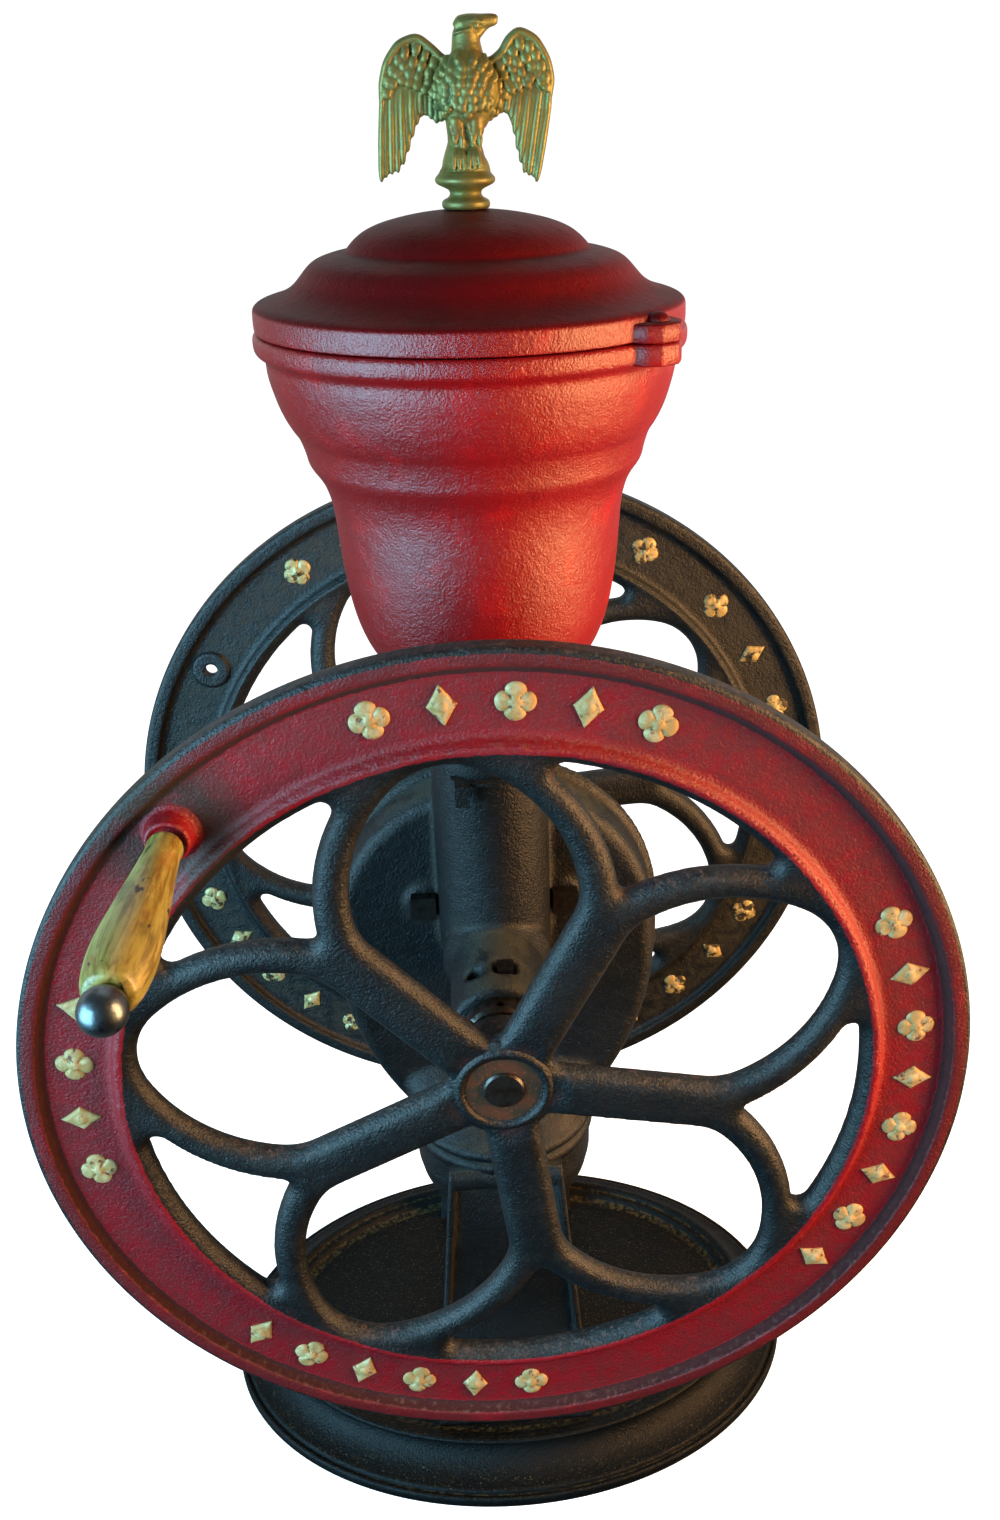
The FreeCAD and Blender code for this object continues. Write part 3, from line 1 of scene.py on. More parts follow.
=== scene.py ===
"""The looks of a counter coffee mill with two flywheels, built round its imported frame.

The frame and Blender are in metres, with +Z up and +Y to the rear along the main shaft. Sizes here are in
millimetres, apart from the studio's, and repeat heights and radii that the frame holds.
"""
import bmesh
import bpy
import json
import math
import numpy as np
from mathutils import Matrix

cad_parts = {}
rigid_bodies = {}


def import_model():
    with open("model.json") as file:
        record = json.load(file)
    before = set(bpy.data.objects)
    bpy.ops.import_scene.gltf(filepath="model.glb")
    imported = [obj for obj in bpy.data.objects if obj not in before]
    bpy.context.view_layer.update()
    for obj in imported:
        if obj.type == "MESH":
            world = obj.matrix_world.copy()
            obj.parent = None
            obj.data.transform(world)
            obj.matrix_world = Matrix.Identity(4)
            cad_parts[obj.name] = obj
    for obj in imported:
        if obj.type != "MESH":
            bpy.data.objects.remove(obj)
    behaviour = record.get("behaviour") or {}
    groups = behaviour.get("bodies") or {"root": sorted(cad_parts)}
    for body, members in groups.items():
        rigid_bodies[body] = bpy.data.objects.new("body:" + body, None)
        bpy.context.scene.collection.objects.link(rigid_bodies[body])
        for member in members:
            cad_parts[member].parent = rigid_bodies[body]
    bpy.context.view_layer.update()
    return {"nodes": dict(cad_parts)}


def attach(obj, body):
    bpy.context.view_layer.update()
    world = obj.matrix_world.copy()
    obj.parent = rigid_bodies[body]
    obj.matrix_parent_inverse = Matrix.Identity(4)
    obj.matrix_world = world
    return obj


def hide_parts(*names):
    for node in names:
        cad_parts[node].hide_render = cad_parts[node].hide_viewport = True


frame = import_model()


# Camera: the photograph's place, low over the front wheel and looking down
# The middle of the lens lies beside the middle of the frame, which is the shift

MM = 0.001
FRAME_PX = 1520
FRAME_MIDDLE_PX = (500, 760)
LENS_PX = 1402.45
LENS_MIDDLE_PX = (555.62, 773.25)
camera_at = np.array([-3.93, -649.58, 700.58]) * MM
yaw, pitch, roll = np.radians([3.36, -25.89, -1.0])
ahead = np.array([math.sin(yaw) * math.cos(pitch), math.cos(yaw) * math.cos(pitch), math.sin(pitch)])
level = np.array([math.cos(yaw), -math.sin(yaw), 0])
lift = np.cross(level, ahead)
right = level * math.cos(roll) + lift * math.sin(roll)
top = lift * math.cos(roll) - level * math.sin(roll)
scene_objects = bpy.context.scene.collection.objects
camera = bpy.data.objects.new("camera", bpy.data.cameras.new("camera"))
camera.data.lens = camera.data.sensor_width * LENS_PX / FRAME_PX
camera.data.shift_x = (FRAME_MIDDLE_PX[0] - LENS_MIDDLE_PX[0]) / FRAME_PX
camera.data.shift_y = (LENS_MIDDLE_PX[1] - FRAME_MIDDLE_PX[1]) / FRAME_PX
camera.data.clip_start = 0.01
placement = np.eye(4)
placement[:3, 0], placement[:3, 1], placement[:3, 2], placement[:3, 3] = right, top, -ahead, camera_at
camera.matrix_world = placement.T.tolist()
scene_objects.link(camera)
bpy.context.scene.camera = camera


# Studio: a white floor under a white sky, a cool window to the left and a warm one to the right
# The sky behind the mill is bright and the room in front of it dim, so that the iron's front stays dark

def linear(code):
    """An sRGB colour such as "#7d1416" as the linear colour that a shader takes."""
    parts = np.array([int(code[i:i + 2], 16) for i in (1, 3, 5)]) / 255
    curve = np.where(parts <= 0.04045, parts / 12.92, ((parts + 0.055) / 1.055) ** 2.4)
    return (*curve.tolist(), 1)


def add(tree, kind, values=None, links=None, **settings):
    """Adds a shader node, sets its properties and its inputs' values, and links outputs to its inputs."""
    item = tree.nodes.new("ShaderNode" + kind)
    for name, value in settings.items():
        setattr(item, name, value)
    for key, value in (values or {}).items():
        item.inputs[key].default_value = value
    for key, source in (links or {}).items():
        tree.links.new(source, item.inputs[key])
    return item


LAYERS_APART = 7.3


def finish(name, colour, rough, layers=(), grain=(), **values):
    """A finish as it was built up: a ground colour and roughness, layers over it, and a grain that stands up.

    A layer is its colour, its roughness, the size of its patches (one number, or three for long patches), the
    noise levels where it starts and where it covers, and its share at most. A last part may be a function of
    the tree and the place that limits it. Each layer reads the noise LAYERS_APART patches on from the last
    one. Each grain is a size and a height. Further values go on the shader's own sockets.
    """
    material = bpy.data.materials.new(name)
    material.use_nodes = True
    tree = material.node_tree
    shader = tree.nodes["Principled BSDF"]
    for key, value in values.items():
        shader.inputs[key.replace("_", " ")].default_value = value
    place = add(tree, "TexCoord").outputs["Object"]
    colour_now, rough_now = None, None
    for number, (over, over_rough, size, low, high, share, *limit) in enumerate(layers):
        stretch = 1 / (np.array(size if isinstance(size, tuple) else (size,) * 3) * MM)
        spot = add(tree, "Mapping", {"Location": (number * LAYERS_APART,) * 3, "Scale": stretch.tolist()},
                   {"Vector": place})
        noise = add(tree, "TexNoise", {"Scale": 1, "Detail": 5, "Roughness": 0.6},
                    {"Vector": spot.outputs["Vector"]})
        cover = add(tree, "MapRange", {"From Min": low, "From Max": high, "To Max": share},
                    {"Value": noise.outputs["Fac"]}, interpolation_type="SMOOTHSTEP").outputs["Result"]
        if limit:
            cover = add(tree, "Math", None, {0: cover, 1: limit[0](tree, place)}, operation="MULTIPLY")
            cover = cover.outputs[0]
        mix = add(tree, "Mix", {6: linear(colour), 7: linear(over)}, {0: cover}, data_type="RGBA")
        if colour_now:
            tree.links.new(colour_now, mix.inputs[6])
        blend = add(tree, "Mix", {2: rough, 3: over_rough}, {0: cover})
        if rough_now:
            tree.links.new(rough_now, blend.inputs[2])
        colour_now, rough_now = mix.outputs[2], blend.outputs[0]
    if layers:
        tree.links.new(colour_now, shader.inputs["Base Color"])
        tree.links.new(rough_now, shader.inputs["Roughness"])
    else:
        shader.inputs["Base Color"].default_value = linear(colour)
        shader.inputs["Roughness"].default_value = rough
    for size, high in grain:
        noise = add(tree, "TexNoise", {"Scale": 1 / (size * MM), "Detail": 3, "Roughness": 0.6},
                    {"Vector": place})
        bump = add(tree, "Bump", {"Strength": 1, "Distance": high * MM}, {"Height": noise.outputs["Fac"]})
        for link in list(shader.inputs["Normal"].links):
            tree.links.new(link.from_socket, bump.inputs["Normal"])
        tree.links.new(bump.outputs["Normal"], shader.inputs["Normal"])
    return material


# matt white card, a little uneven from use
floor_card = finish("floor_card", "#f2f2f2", 0.7, [("#ebecee", 0.6, 180, 0.4, 0.7, 0.5)],
                    Emission_Color=linear("#ffffff"), Emission_Strength=1)
FLOOR_SIDE, FLOOR_NEAR, FLOOR_FAR = 3, -2.2, 4
floor = bpy.data.meshes.new("floor")
floor.from_pydata([(-FLOOR_SIDE, FLOOR_NEAR, 0), (FLOOR_SIDE, FLOOR_NEAR, 0), (FLOOR_SIDE, FLOOR_FAR, 0),
                   (-FLOOR_SIDE, FLOOR_FAR, 0)], [], [(0, 1, 2, 3)])
floor.materials.append(floor_card)
floor = bpy.data.objects.new("floor", floor)
scene_objects.link(floor)
floor.visible_diffuse = False
floor.visible_glossy = False

# the sky's strength behind the mill, overhead, in front and below, and as the camera sees it
SKY_BEHIND, SKY_HIGH, SKY_BEFORE, SKY_BELOW, SKY_SEEN = 0.75, 0.14, 0.08, 0.25, 1.1
sky = bpy.data.worlds.new("studio")
sky.use_nodes = True
tree = sky.node_tree
towards = add(tree, "TexCoord").outputs["Generated"]
towards = add(tree, "SeparateXYZ", None, {"Vector": towards}).outputs
behind = add(tree, "MapRange", {"From Min": 0.3, "From Max": 0.55, "To Min": SKY_BEHIND, "To Max": SKY_HIGH},
             {"Value": towards["Z"]})
strength = add(tree, "MapRange", {"From Min": -0.35, "From Max": 0.5, "To Min": SKY_BEFORE},
               {"Value": towards["Y"], "To Max": behind.outputs["Result"]})
above = add(tree, "MapRange", {"From Min": -0.3, "From Max": 0.15, "To Min": SKY_BELOW},
            {"Value": towards["Z"]})
strength = add(tree, "Math", None, {0: strength.outputs["Result"], 1: above.outputs["Result"]},
               operation="MULTIPLY")
seen = add(tree, "LightPath").outputs["Is Camera Ray"]
strength = add(tree, "Mix", {3: SKY_SEEN}, {0: seen, 2: strength.outputs[0]}).outputs[0]
background = tree.nodes["Background"]
background.inputs["Color"].default_value = linear("#fbfcfc")
tree.links.new(strength, background.inputs["Strength"])
bpy.context.scene.world = sky
bpy.context.scene.view_settings.view_transform = "Standard"
# each lamp's colour, watts, width, height and place in metres; all of them face the middle of the mill
LIT_MIDDLE = np.array([0, 0, 0.4])
for name, colour, power, wide, high, spot in (
        ("window_left", "#9fe0ff", 40, 1.1, 1.0, (-0.98, -0.72, 0.5)),
        ("window_right", "#ffc183", 17, 0.35, 0.8, (0.7, -0.3, 0.5)),
        ("floor_light", "#ffffff", 5, 1.6, 1.6, (0.0, 1.3, 2.0))):
    lamp = bpy.data.lights.new(name, "AREA")
    lamp.color = linear(colour)[:3]
    lamp.energy = power
    lamp.shape = "RECTANGLE"
    lamp.size = wide
    lamp.size_y = high
    lamp = bpy.data.objects.new(name, lamp)
    lamp.location = spot
    aim = LIT_MIDDLE - np.array(spot)
    tilt = math.acos(-aim[2] / np.linalg.norm(aim))
    lamp.rotation_euler = (tilt, 0, math.atan2(aim[1], aim[0]) - math.pi / 2)
    lamp.visible_camera = False
    scene_objects.link(lamp)


# Case: two halves of grey iron, cast in sand and japanned black, now dull, dusty and brown at their edges
# The front half holds the burrs, the feed throat and the front bearing, and the rear half is its cover

def placed(name, mesh, body, slot, material, *nodes):
    """A finished piece: smooth, with its finish, riding on its body in the place of the frame's nodes."""
    mesh.name = name
    mesh.polygons.foreach_set("use_smooth", np.ones(len(mesh.polygons), bool))
    mesh.materials.clear()
    mesh.materials.append(material)
    piece = bpy.data.objects.new(name, mesh)
    scene_objects.link(piece)
    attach(piece, body)
    if nodes:
        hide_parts(*nodes)
    return piece


def eased(mesh, voxel, rounds):
    """A casting as it leaves the sand: its closed skins are filled as one with voxels of that width, and each
    point then moves halfway to the mean of its neighbours, round after round, which rounds the corners."""
    merge = bmesh.new()
    merge.from_mesh(mesh)
    bmesh.ops.remove_doubles(merge, verts=merge.verts, dist=1e-5)
    merge.to_mesh(mesh)
    merge.free()
    piece = bpy.data.objects.new("pattern", mesh)
    scene_objects.link(piece)
    voxels = piece.modifiers.new("voxels", "REMESH")
    voxels.mode = "VOXEL"
    voxels.voxel_size = voxel * MM
    smooth = piece.modifiers.new("smooth", "SMOOTH")
    smooth.factor = 0.5
    smooth.iterations = rounds
    graph = bpy.context.evaluated_depsgraph_get()
    done = bpy.data.meshes.new_from_object(piece.evaluated_get(graph))
    bpy.data.objects.remove(piece)
    return done


def corners_of(mesh):
    """A mesh's points as an array of millimetres, and its normals."""
    points = np.empty(3 * len(mesh.vertices), np.float32)
    mesh.vertices.foreach_get("co", points)
    normals = np.empty(3 * len(mesh.vertices), np.float32)
    mesh.vertices.foreach_get("normal", normals)
    return points.reshape(-1, 3) / MM, normals.reshape(-1, 3)


FULL_WEAR = 0.07


def wear_and_shade_marked(mesh, reach=2):
    """Writes how far each point stands out of its surroundings (edge) or lies in them (nook): the gap along
    its normal from the mean of its neighbours, averaged over them reach times and divided by FULL_WEAR.
    The marks carry worn corners and dirt, and also painted shade in hollows and painted highlights on edges."""
    points, normals = corners_of(mesh)
    ends = np.empty(2 * len(mesh.edges), np.int32)
    mesh.edges.foreach_get("vertices", ends)
    ends = ends.reshape(-1, 2)
    both = np.vstack([ends, ends[:, ::-1]])
    count = np.bincount(both[:, 0], minlength=len(points)).clip(1)
    mean = np.column_stack([np.bincount(both[:, 0], points[both[:, 1], axis], len(points))
                            for axis in range(3)])
    stands = ((points - mean / count[:, None]) * normals).sum(1)
    for _ in range(reach):
        stands = (stands + np.bincount(both[:, 0], stands[both[:, 1]], len(points)) / count) / 2
    for name, value in (("edge", stands), ("nook", -stands)):
        layer = mesh.attributes.new(name, "FLOAT", "POINT")
        layer.data.foreach_set("value", (value / FULL_WEAR).clip(0, 1).astype(np.float32))
    return mesh


def edge(tree, place):
    """Where the casting's corners stand out."""
    return add(tree, "Attribute", attribute_name="edge").outputs["Fac"]


def nook(tree, place):
    """Where the casting is hollow."""
    return add(tree, "Attribute", attribute_name="nook").outputs["Fac"]


def corner(tree, place):
    """Where it is hollow most sharply."""
    return add(tree, "MapRange", {"From Min": 0.75}, {"Value": nook(tree, place)}).outputs[0]


def upward(low, high):
    """A limit by how far the surface faces up, for what settles there and for the lid's painted shade: none
    where the surface's normal rises by less than low, all above high.
    """
    def facing_up_share(tree, place):
        normal = add(tree, "NewGeometry").outputs["Normal"]
        rise = add(tree, "SeparateXYZ", None, {"Vector": normal}).outputs["Z"]
        share = add(tree, "MapRange", {"From Min": low, "From Max": high}, {"Value": rise})
        return share.outputs[0]
    return facing_up_share


# baked black japan: blue-black and satin, brown where it thins, grey where dust lies on what faces up
JAPAN_GROUND = ("#050b0f", 0.42)
japan = [("#0b0d0e", 0.5, 34, 0.42, 0.62, 0.7), ("#1a1510", 0.6, 7, 0.6, 0.74, 0.35),
         ("#5a6a6c", 0.8, 1.0, 0.64, 0.7, 0.5), ("#222e32", 0.8, 10, 0.36, 0.62, 0.5, upward(0.5, 1)),
         ("#5c6868", 0.85, 1.5, 0.54, 0.66, 0.5, upward(0.3, 1))]
rubbed_corners = ("#242c2d", 0.42, 5, 0.4, 0.7, 0.35, edge)
brown_hollows = ("#2c2a1c", 0.8, 7, 0.38, 0.62, 0.45, nook)
sand_grain = [(9, 0.6), (1.2, 0.6)]
black_japan = finish("black_japan", *JAPAN_GROUND, japan + [rubbed_corners, brown_hollows], sand_grain)
# the same japan without the attributes of a casting's corners, for what comes from the frame as it is
plain_japan = finish("plain_japan", *JAPAN_GROUND, japan, sand_grain)
# the case has dust and old oil on its bearing: olive brown wherever it faces up
dusty_case = finish("dusty_case", *JAPAN_GROUND, japan + [
    rubbed_corners, brown_hollows, ("#55584a", 0.85, 13, 0.3, 0.55, 0.7, upward(0.7, 0.97))], sand_grain)
# the base has lain under coffee dust: olive brown on its pan, yellow in its corners, black on its sides
dusty_japan = finish("dusty_japan", "#030709", 0.42, [
    ("#060a0b", 0.5, 34, 0.42, 0.62, 0.7), ("#0c0c08", 0.7, 22, 0.4, 0.6, 0.4, upward(0.85, 1)),
    ("#6a6040", 0.85, 1.1, 0.6, 0.67, 0.7, upward(0.7, 1)), ("#5a6a6c", 0.8, 1.0, 0.66, 0.72, 0.3),
    ("#10181a", 0.5, 5, 0.45, 0.7, 0.3, edge), ("#4a4226", 0.85, 3, 0.44, 0.6, 0.7, corner)], sand_grain,
    Specular_IOR_Level=0.18)

for name, voxel, rounds, material in (("case_front", 1.6, 2, dusty_case), ("case_rear", 2.2, 3, black_japan)):
    casting = wear_and_shade_marked(eased(frame["nodes"][name].data.copy(), voxel, rounds))
    placed(name + "_casting", casting, "frame", "black_iron", material, name)


def dress(material, *names):
    """Gives the frame's own nodes their finish."""
    for name in names:
        piece = frame["nodes"][name]
        piece.data.materials.clear()
        piece.data.materials.append(material)


dress(plain_japan, "feed_gate")


# Bolts, nuts, shaft, burrs and set screws: bright steel once, now dark with oil and rust in its pores
# The bolts clamp the castings, the shaft turns in two bronze bushes, and a set screw holds each wheel on it

# steel darkened by old oil: brown-black films over a dull metal, pitted
oiled_steel = finish("oiled_steel", "#4a4845", 0.3, [
    ("#2a221b", 0.5, 5, 0.42, 0.62, 1), ("#5a3a24", 0.65, 1.1, 0.55, 0.7, 0.6)], [(0.9, 0.05)], Metallic=0.85)
# rust with the metal gone dull under it
rusted_steel = finish("rusted_steel", "#54290f", 0.7, [
    ("#2c2413", 0.7, 9, 0.4, 0.6, 0.9), ("#8a4a1e", 0.8, 1.6, 0.56, 0.68, 0.6)], [(0.9, 0.2)], Metallic=0.1)
# bearing bronze under oil: a warm brown metal with darker films
bearing_bronze = finish("bearing_bronze", "#7a6238", 0.35, [("#3a2e1c", 0.5, 4, 0.42, 0.62, 0.9)],
                        [(1.2, 0.04)], Metallic=0.9)
# the forged cap on the handle's end, polished by the palm: grey with dark patches and long bright scratches
polished_steel = finish("polished_steel", "#6b757a", 0.34, [
    ("#1c1a18", 0.4, 7, 0.55, 0.66, 0.7), ("#a9adae", 0.3, (0.8, 7, 0.8), 0.64, 0.7, 0.6)],
    [(3, 0.15)], Metallic=1)
dress(polished_steel, "grip_cap")
dress(oiled_steel, "pedestal_bolts", "case_bolts", "neck_screws", "burr_bolts", "bearing_screw",
      "hopper_bolts", "main_shaft", "front_hub_screw", "rear_hub_screw", "burr_pin", "handle_stud",
      "handle_nut", "finial_nut", "fixed_burr", "rotating_burr", "feed_worm", "adjusting_ring")
dress(rusted_steel, "front_hub_ring", "rear_hub_ring")
dress(bearing_bronze, "front_bush", "rear_bush")


# Flywheels: each one grey iron casting, a channelled rim on five spokes that fork like wishbones
# The front one's channel and lips are painted crimson and its spokes are black, the rear one is all black

AXLE = 297
FRONT_WHEEL_Y, REAR_WHEEL_Y = -145, 136


def rounded_line(points, cut):
    """A line whose corners are parabolas: each starts and ends a cut away from its corner, or halfway along a
    shorter run, and its point at t is (1-t)^2 start + 2t(1-t) corner + t^2 end."""
    points = np.array(points, float)
    runs = np.diff(points, axis=0)
    long = np.hypot(*runs.T)
    t = np.linspace(0, 1, 6)[:, None]
    line = [points[:1]]
    for bend, before, after, first, second in zip(points[1:-1], runs[:-1], runs[1:], long[:-1], long[1:]):
        start = bend - before * min(cut / first, 0.5)
        end = bend + after * min(cut / second, 0.5)
        line.append((1 - t) ** 2 * start + 2 * t * (1 - t) * bend + t ** 2 * end)
    return np.vstack(line + [points[-1:]])


def swung(profile, centre, axis="Z", steps=192):
    """A profile of radius and height swung round an axis through centre: a grid of angle by profile point."""
    turn = np.linspace(0, 2 * math.pi, steps, endpoint=False)[:, None]
    r, h = np.array(profile).T
    flat = [r * np.cos(turn), r * np.sin(turn), h + 0 * turn]
    grid = np.stack([flat[0], flat[2], flat[1]] if axis == "Y" else flat, -1)
    return grid + np.array(centre)


def skin(*grids):
    """One mesh of closed skins. Each grid's rows join round in a ring, its columns too where the last is the
    first, or else its ends shrink to points. Doubles are merged and the faces turned out."""
    verts, faces, count = [], [], 0
    for grid in grids:
        rows, columns = grid.shape[:2]
        index = np.arange(rows * columns).reshape(rows, columns) + count
        side = np.roll(index, -1, 0)
        faces.append(np.stack([index[:, :-1], side[:, :-1], side[:, 1:], index[:, 1:]], -1).reshape(-1, 4))
        verts.append(grid.reshape(-1, 3) * MM)
        count += rows * columns
    mesh = bpy.data.meshes.new("skin")
    mesh.from_pydata(np.vstack(verts), [], np.vstack(faces).tolist())
    merge = bmesh.new()
    merge.from_mesh(mesh)
    bmesh.ops.remove_doubles(merge, verts=merge.verts, dist=1e-6)
    bmesh.ops.recalc_face_normals(merge, faces=merge.faces)
    merge.to_mesh(mesh)
    merge.free()
    return mesh


def joined(*meshes):
    """Several meshes as one."""
    merge = bmesh.new()
    for mesh in meshes:
        merge.from_mesh(mesh)
    whole = bpy.data.meshes.new("joined")
    merge.to_mesh(whole)
    merge.free()
    return whole


# profiles of radius and depth, the depth measured back from the lip's front
RIM_PROFILE = [(165, 6), (166.2, 2.4), (168, 1.4), (169.6, 0.3), (171.4, 0.9), (173.2, 4.2), (175.6, 5),
               (201.2, 5), (203.4, 3.8), (204.4, 0.5), (206, 0), (210.6, 0), (212.2, 1), (212.6, 3),
               (212.6, 9.4), (212.1, 11.4), (210.4, 12.2), (205.6, 12.2), (203.8, 11.4), (202.6, 9.6),
               (200.6, 9.2), (175.4, 9.2), (173.4, 9.9), (171.4, 12), (166, 12.6), (165, 10), (165, 6)]
HUB_RING = [(17.4, -2.6), (17.6, -0.9), (18.6, 0.4), (20, 0.9), (21.4, 0.4), (22.8, -0.9), (25.5, -2.4),
            (25.5, -8), (19, -8), (17.4, -5), (17.4, -2.6)]
CROWN, CROWN_REACH = 1.5, 11
HUB_FACE_R, HUB_FADE = 19, 12
OPENINGS_R = 168
TUCK_R, TUCK_SHARE, TUCK_THIN = 171.5, 0.02, 0.25
WEB_MIDDLE = 7


def web(node, wheel_y):
    """The spokes: the eased casting, its rim beyond TUCK_R drawn in under the turned rim, and its front face
    crowned by CROWN (1 - (1 - d / CROWN_REACH)^2), where d is the distance from the nearest opening."""
    mesh = eased(frame["nodes"][node].data.copy(), 1.9, 4)
    points, normals = corners_of(mesh)
    local = points - [0, wheel_y, AXLE]
    r = np.hypot(local[:, 0], local[:, 2])
    face = (normals[:, 1] < -0.8) & (r < TUCK_R) & (r > HUB_FACE_R)
    wall = (np.abs(normals[:, 1]) < 0.35) & (r < OPENINGS_R)
    border = local[wall][:, [0, 2]]
    spots = local[face][:, [0, 2]]
    gap = np.concatenate([np.sqrt(((part[:, None] - border) ** 2).sum(2).min(1))
                          for part in np.array_split(spots, 60)])
    crown = CROWN * (1 - (1 - np.clip(gap / CROWN_REACH, 0, 1)) ** 2)
    local[face, 1] -= crown * np.clip((r[face] - HUB_FACE_R) / HUB_FADE, 0, 1)
    out = r > TUCK_R
    tuck = (TUCK_R + (r[out] - TUCK_R) * TUCK_SHARE) / r[out]
    local[out, 0] *= tuck
    local[out, 2] *= tuck
    local[out, 1] = WEB_MIDDLE + (local[out, 1] - WEB_MIDDLE) * TUCK_THIN
    mesh.vertices.foreach_set("co", ((local + [0, wheel_y, AXLE]) * MM).astype(np.float32).ravel())
    mesh.update()
    return mesh


PAINT_IN, PAINT_OUT, PAINT_DEPTH = 167.6, 210.1, 7
RAGGED, RAGGED_SIZE = 1.6, 4
EDGE_START, EDGE_END = 0.5, 1.1


def ringed(inner, outer):
    """A limit to the front of the front wheel's rim, between two radii from the axle. Noise of up to RAGGED
    is added to the radius, 0.8 on average, so its edges lie from EDGE_START to EDGE_END beyond theirs."""
    def within(tree, place):
        flat = add(tree, "VectorMath", {1: (1, 0, 1), 2: (0, 0, -AXLE * MM)}, {0: place},
                   operation="MULTIPLY_ADD").outputs[0]
        radius = add(tree, "VectorMath", None, {0: flat}, operation="LENGTH").outputs["Value"]
        ragged = add(tree, "TexNoise", {"Scale": 1 / (RAGGED_SIZE * MM), "Detail": 3},
                     {"Vector": place}).outputs[0]
        radius = add(tree, "Math", {1: RAGGED * MM}, {0: ragged, 2: radius},
                     operation="MULTIPLY_ADD").outputs[0]
        depth = add(tree, "SeparateXYZ", None, {"Vector": place}).outputs["Y"]
        share = 1
        for value, low, high in ((radius, inner + EDGE_START, inner + EDGE_END),
                                 (radius, outer + EDGE_END, outer + EDGE_START),
                                 (depth, FRONT_WHEEL_Y + PAINT_DEPTH + 1, FRONT_WHEEL_Y + PAINT_DEPTH)):
            step = add(tree, "MapRange", {"From Min": low * MM, "From Max": high * MM}, {"Value": value})
            both = add(tree, "Math", {1: 1}, {0: step.outputs["Result"]}, operation="MULTIPLY")
            if share != 1:
                tree.links.new(share, both.inputs[1])
            share = both.outputs[0]
        return share
    return within


# the handle's place on the front wheel, and the radii from it between which the hand's ring comes and goes
HANDLE = (-130.3, 433.9)
HAND_IN, HAND_FULL, HAND_FADES, HAND_ENDS = 11, 14, 20, 38


def handled(tree, place):
    """Where a hand blackens the front wheel: a ring round the handle's boss."""
    away = add(tree, "VectorMath", {1: (1, 0, 1), 2: (-HANDLE[0] * MM, 0, -HANDLE[1] * MM)},
               {0: place}, operation="MULTIPLY_ADD").outputs[0]
    away = add(tree, "VectorMath", None, {0: away}, operation="LENGTH").outputs["Value"]
    outside = add(tree, "MapRange", {"From Min": HAND_IN * MM, "From Max": HAND_FULL * MM}, {"Value": away})
    near = add(tree, "MapRange", {"From Min": HAND_ENDS * MM, "From Max": HAND_FADES * MM}, {"Value": away})
    ring = add(tree, "Math", None, {0: near.outputs[0], 1: outside.outputs[0]}, operation="MULTIPLY")
    return ring.outputs[0]


LIP_R = 204.4
GROOVE_IN, GROOVE_OUT = 201, 204.6
painted, lip, groove = ringed(PAINT_IN, PAINT_OUT), ringed(LIP_R, PAINT_OUT), ringed(GROOVE_IN, GROOVE_OUT)
# crimson oil paint brushed over the japan: the sand's grain shows through it, the lip is browner, the corner
# # inside the lip is darkened with painted shade and old dirt, and it is dark with oil about the handle
crimson_paint = [("#8a0b18", 0.42, 40, -1, 0, 1, painted), ("#740914", 0.5, 70, 0.42, 0.66, 0.5, painted),
                 ("#a51f2b", 0.4, 2.5, 0.56, 0.72, 0.15, painted),
                 ("#3a0c0e", 0.6, 1.2, 0.68, 0.74, 0.4, painted),
                 ("#450d0c", 0.5, 30, 0.2, 0.5, 0.7, lip), ("#1c0708", 1, 30, -1, 0, 0.9, groove)]
painted_casting = finish("painted_casting", *JAPAN_GROUND, japan + [rubbed_corners] + crimson_paint + [
    # pink-grey dust on what faces up, and in the hollows a dark brown that is painted shade with dirt
    ("#8a6a60", 0.7, 3, 0.52, 0.68, 0.3, upward(0.15, 0.95)), ("#4a1a16", 0.7, 6, 0.35, 0.6, 0.4, nook),
    ("#231d0e", 0.6, 16, 0.2, 0.5, 0.85, handled)], sand_grain)

# the rear wheel has a bored boss for a handle too, and stays without one
SPARE, SPARE_BORE_R = (-161.8, 394.6), 3.6
HANDLE_BOSS = [(0, -3.4), (6.6, -3.4), (7.4, -4.8), (8.4, -5), (9.3, -4.2), (9.5, 0), (10.4, 3.6), (13, 5),
               (13, 7), (0, 7)]
SPARE_BOSS = [(3.6, 6), (3.6, 3.5), (4.6, 3), (9.4, 3), (10.6, 3.4), (11, 4.4), (12, 5.2), (12, 6), (3.6, 6)]


def hub_face(wheel_y, face_y, out):
    """The hub's raised ring about its recess, standing out of the web on the side that out gives."""
    return swung([(r, wheel_y + face_y + out * high) for r, high in rounded_line(HUB_RING, 0.8)],
                 (0, 0, AXLE), "Y", 96)


def rim(wheel_y):
    """The rim's skin, from its profile."""
    return swung([(r, wheel_y + y) for r, y in rounded_line(RIM_PROFILE, 1.6)], (0, 0, AXLE), "Y", 384)


def boss(profile, cut, spot, wheel_y, steps):
    """A boss round an axis through spot, an x and z on the wheel."""
    return swung([(r, wheel_y + y) for r, y in rounded_line(profile, cut)], (spot[0], 0, spot[1]), "Y", steps)


FRONT_HUB_FACE, REAR_HUB_FACE = 1.0, 11.9
front = joined(web("front_wheel", FRONT_WHEEL_Y), skin(rim(FRONT_WHEEL_Y)),
               skin(hub_face(FRONT_WHEEL_Y, FRONT_HUB_FACE, -1)),
               skin(boss(HANDLE_BOSS, 1, HANDLE, FRONT_WHEEL_Y, 64)))
placed("front_flywheel", wear_and_shade_marked(front), "crank", "black_iron", painted_casting, "front_wheel")

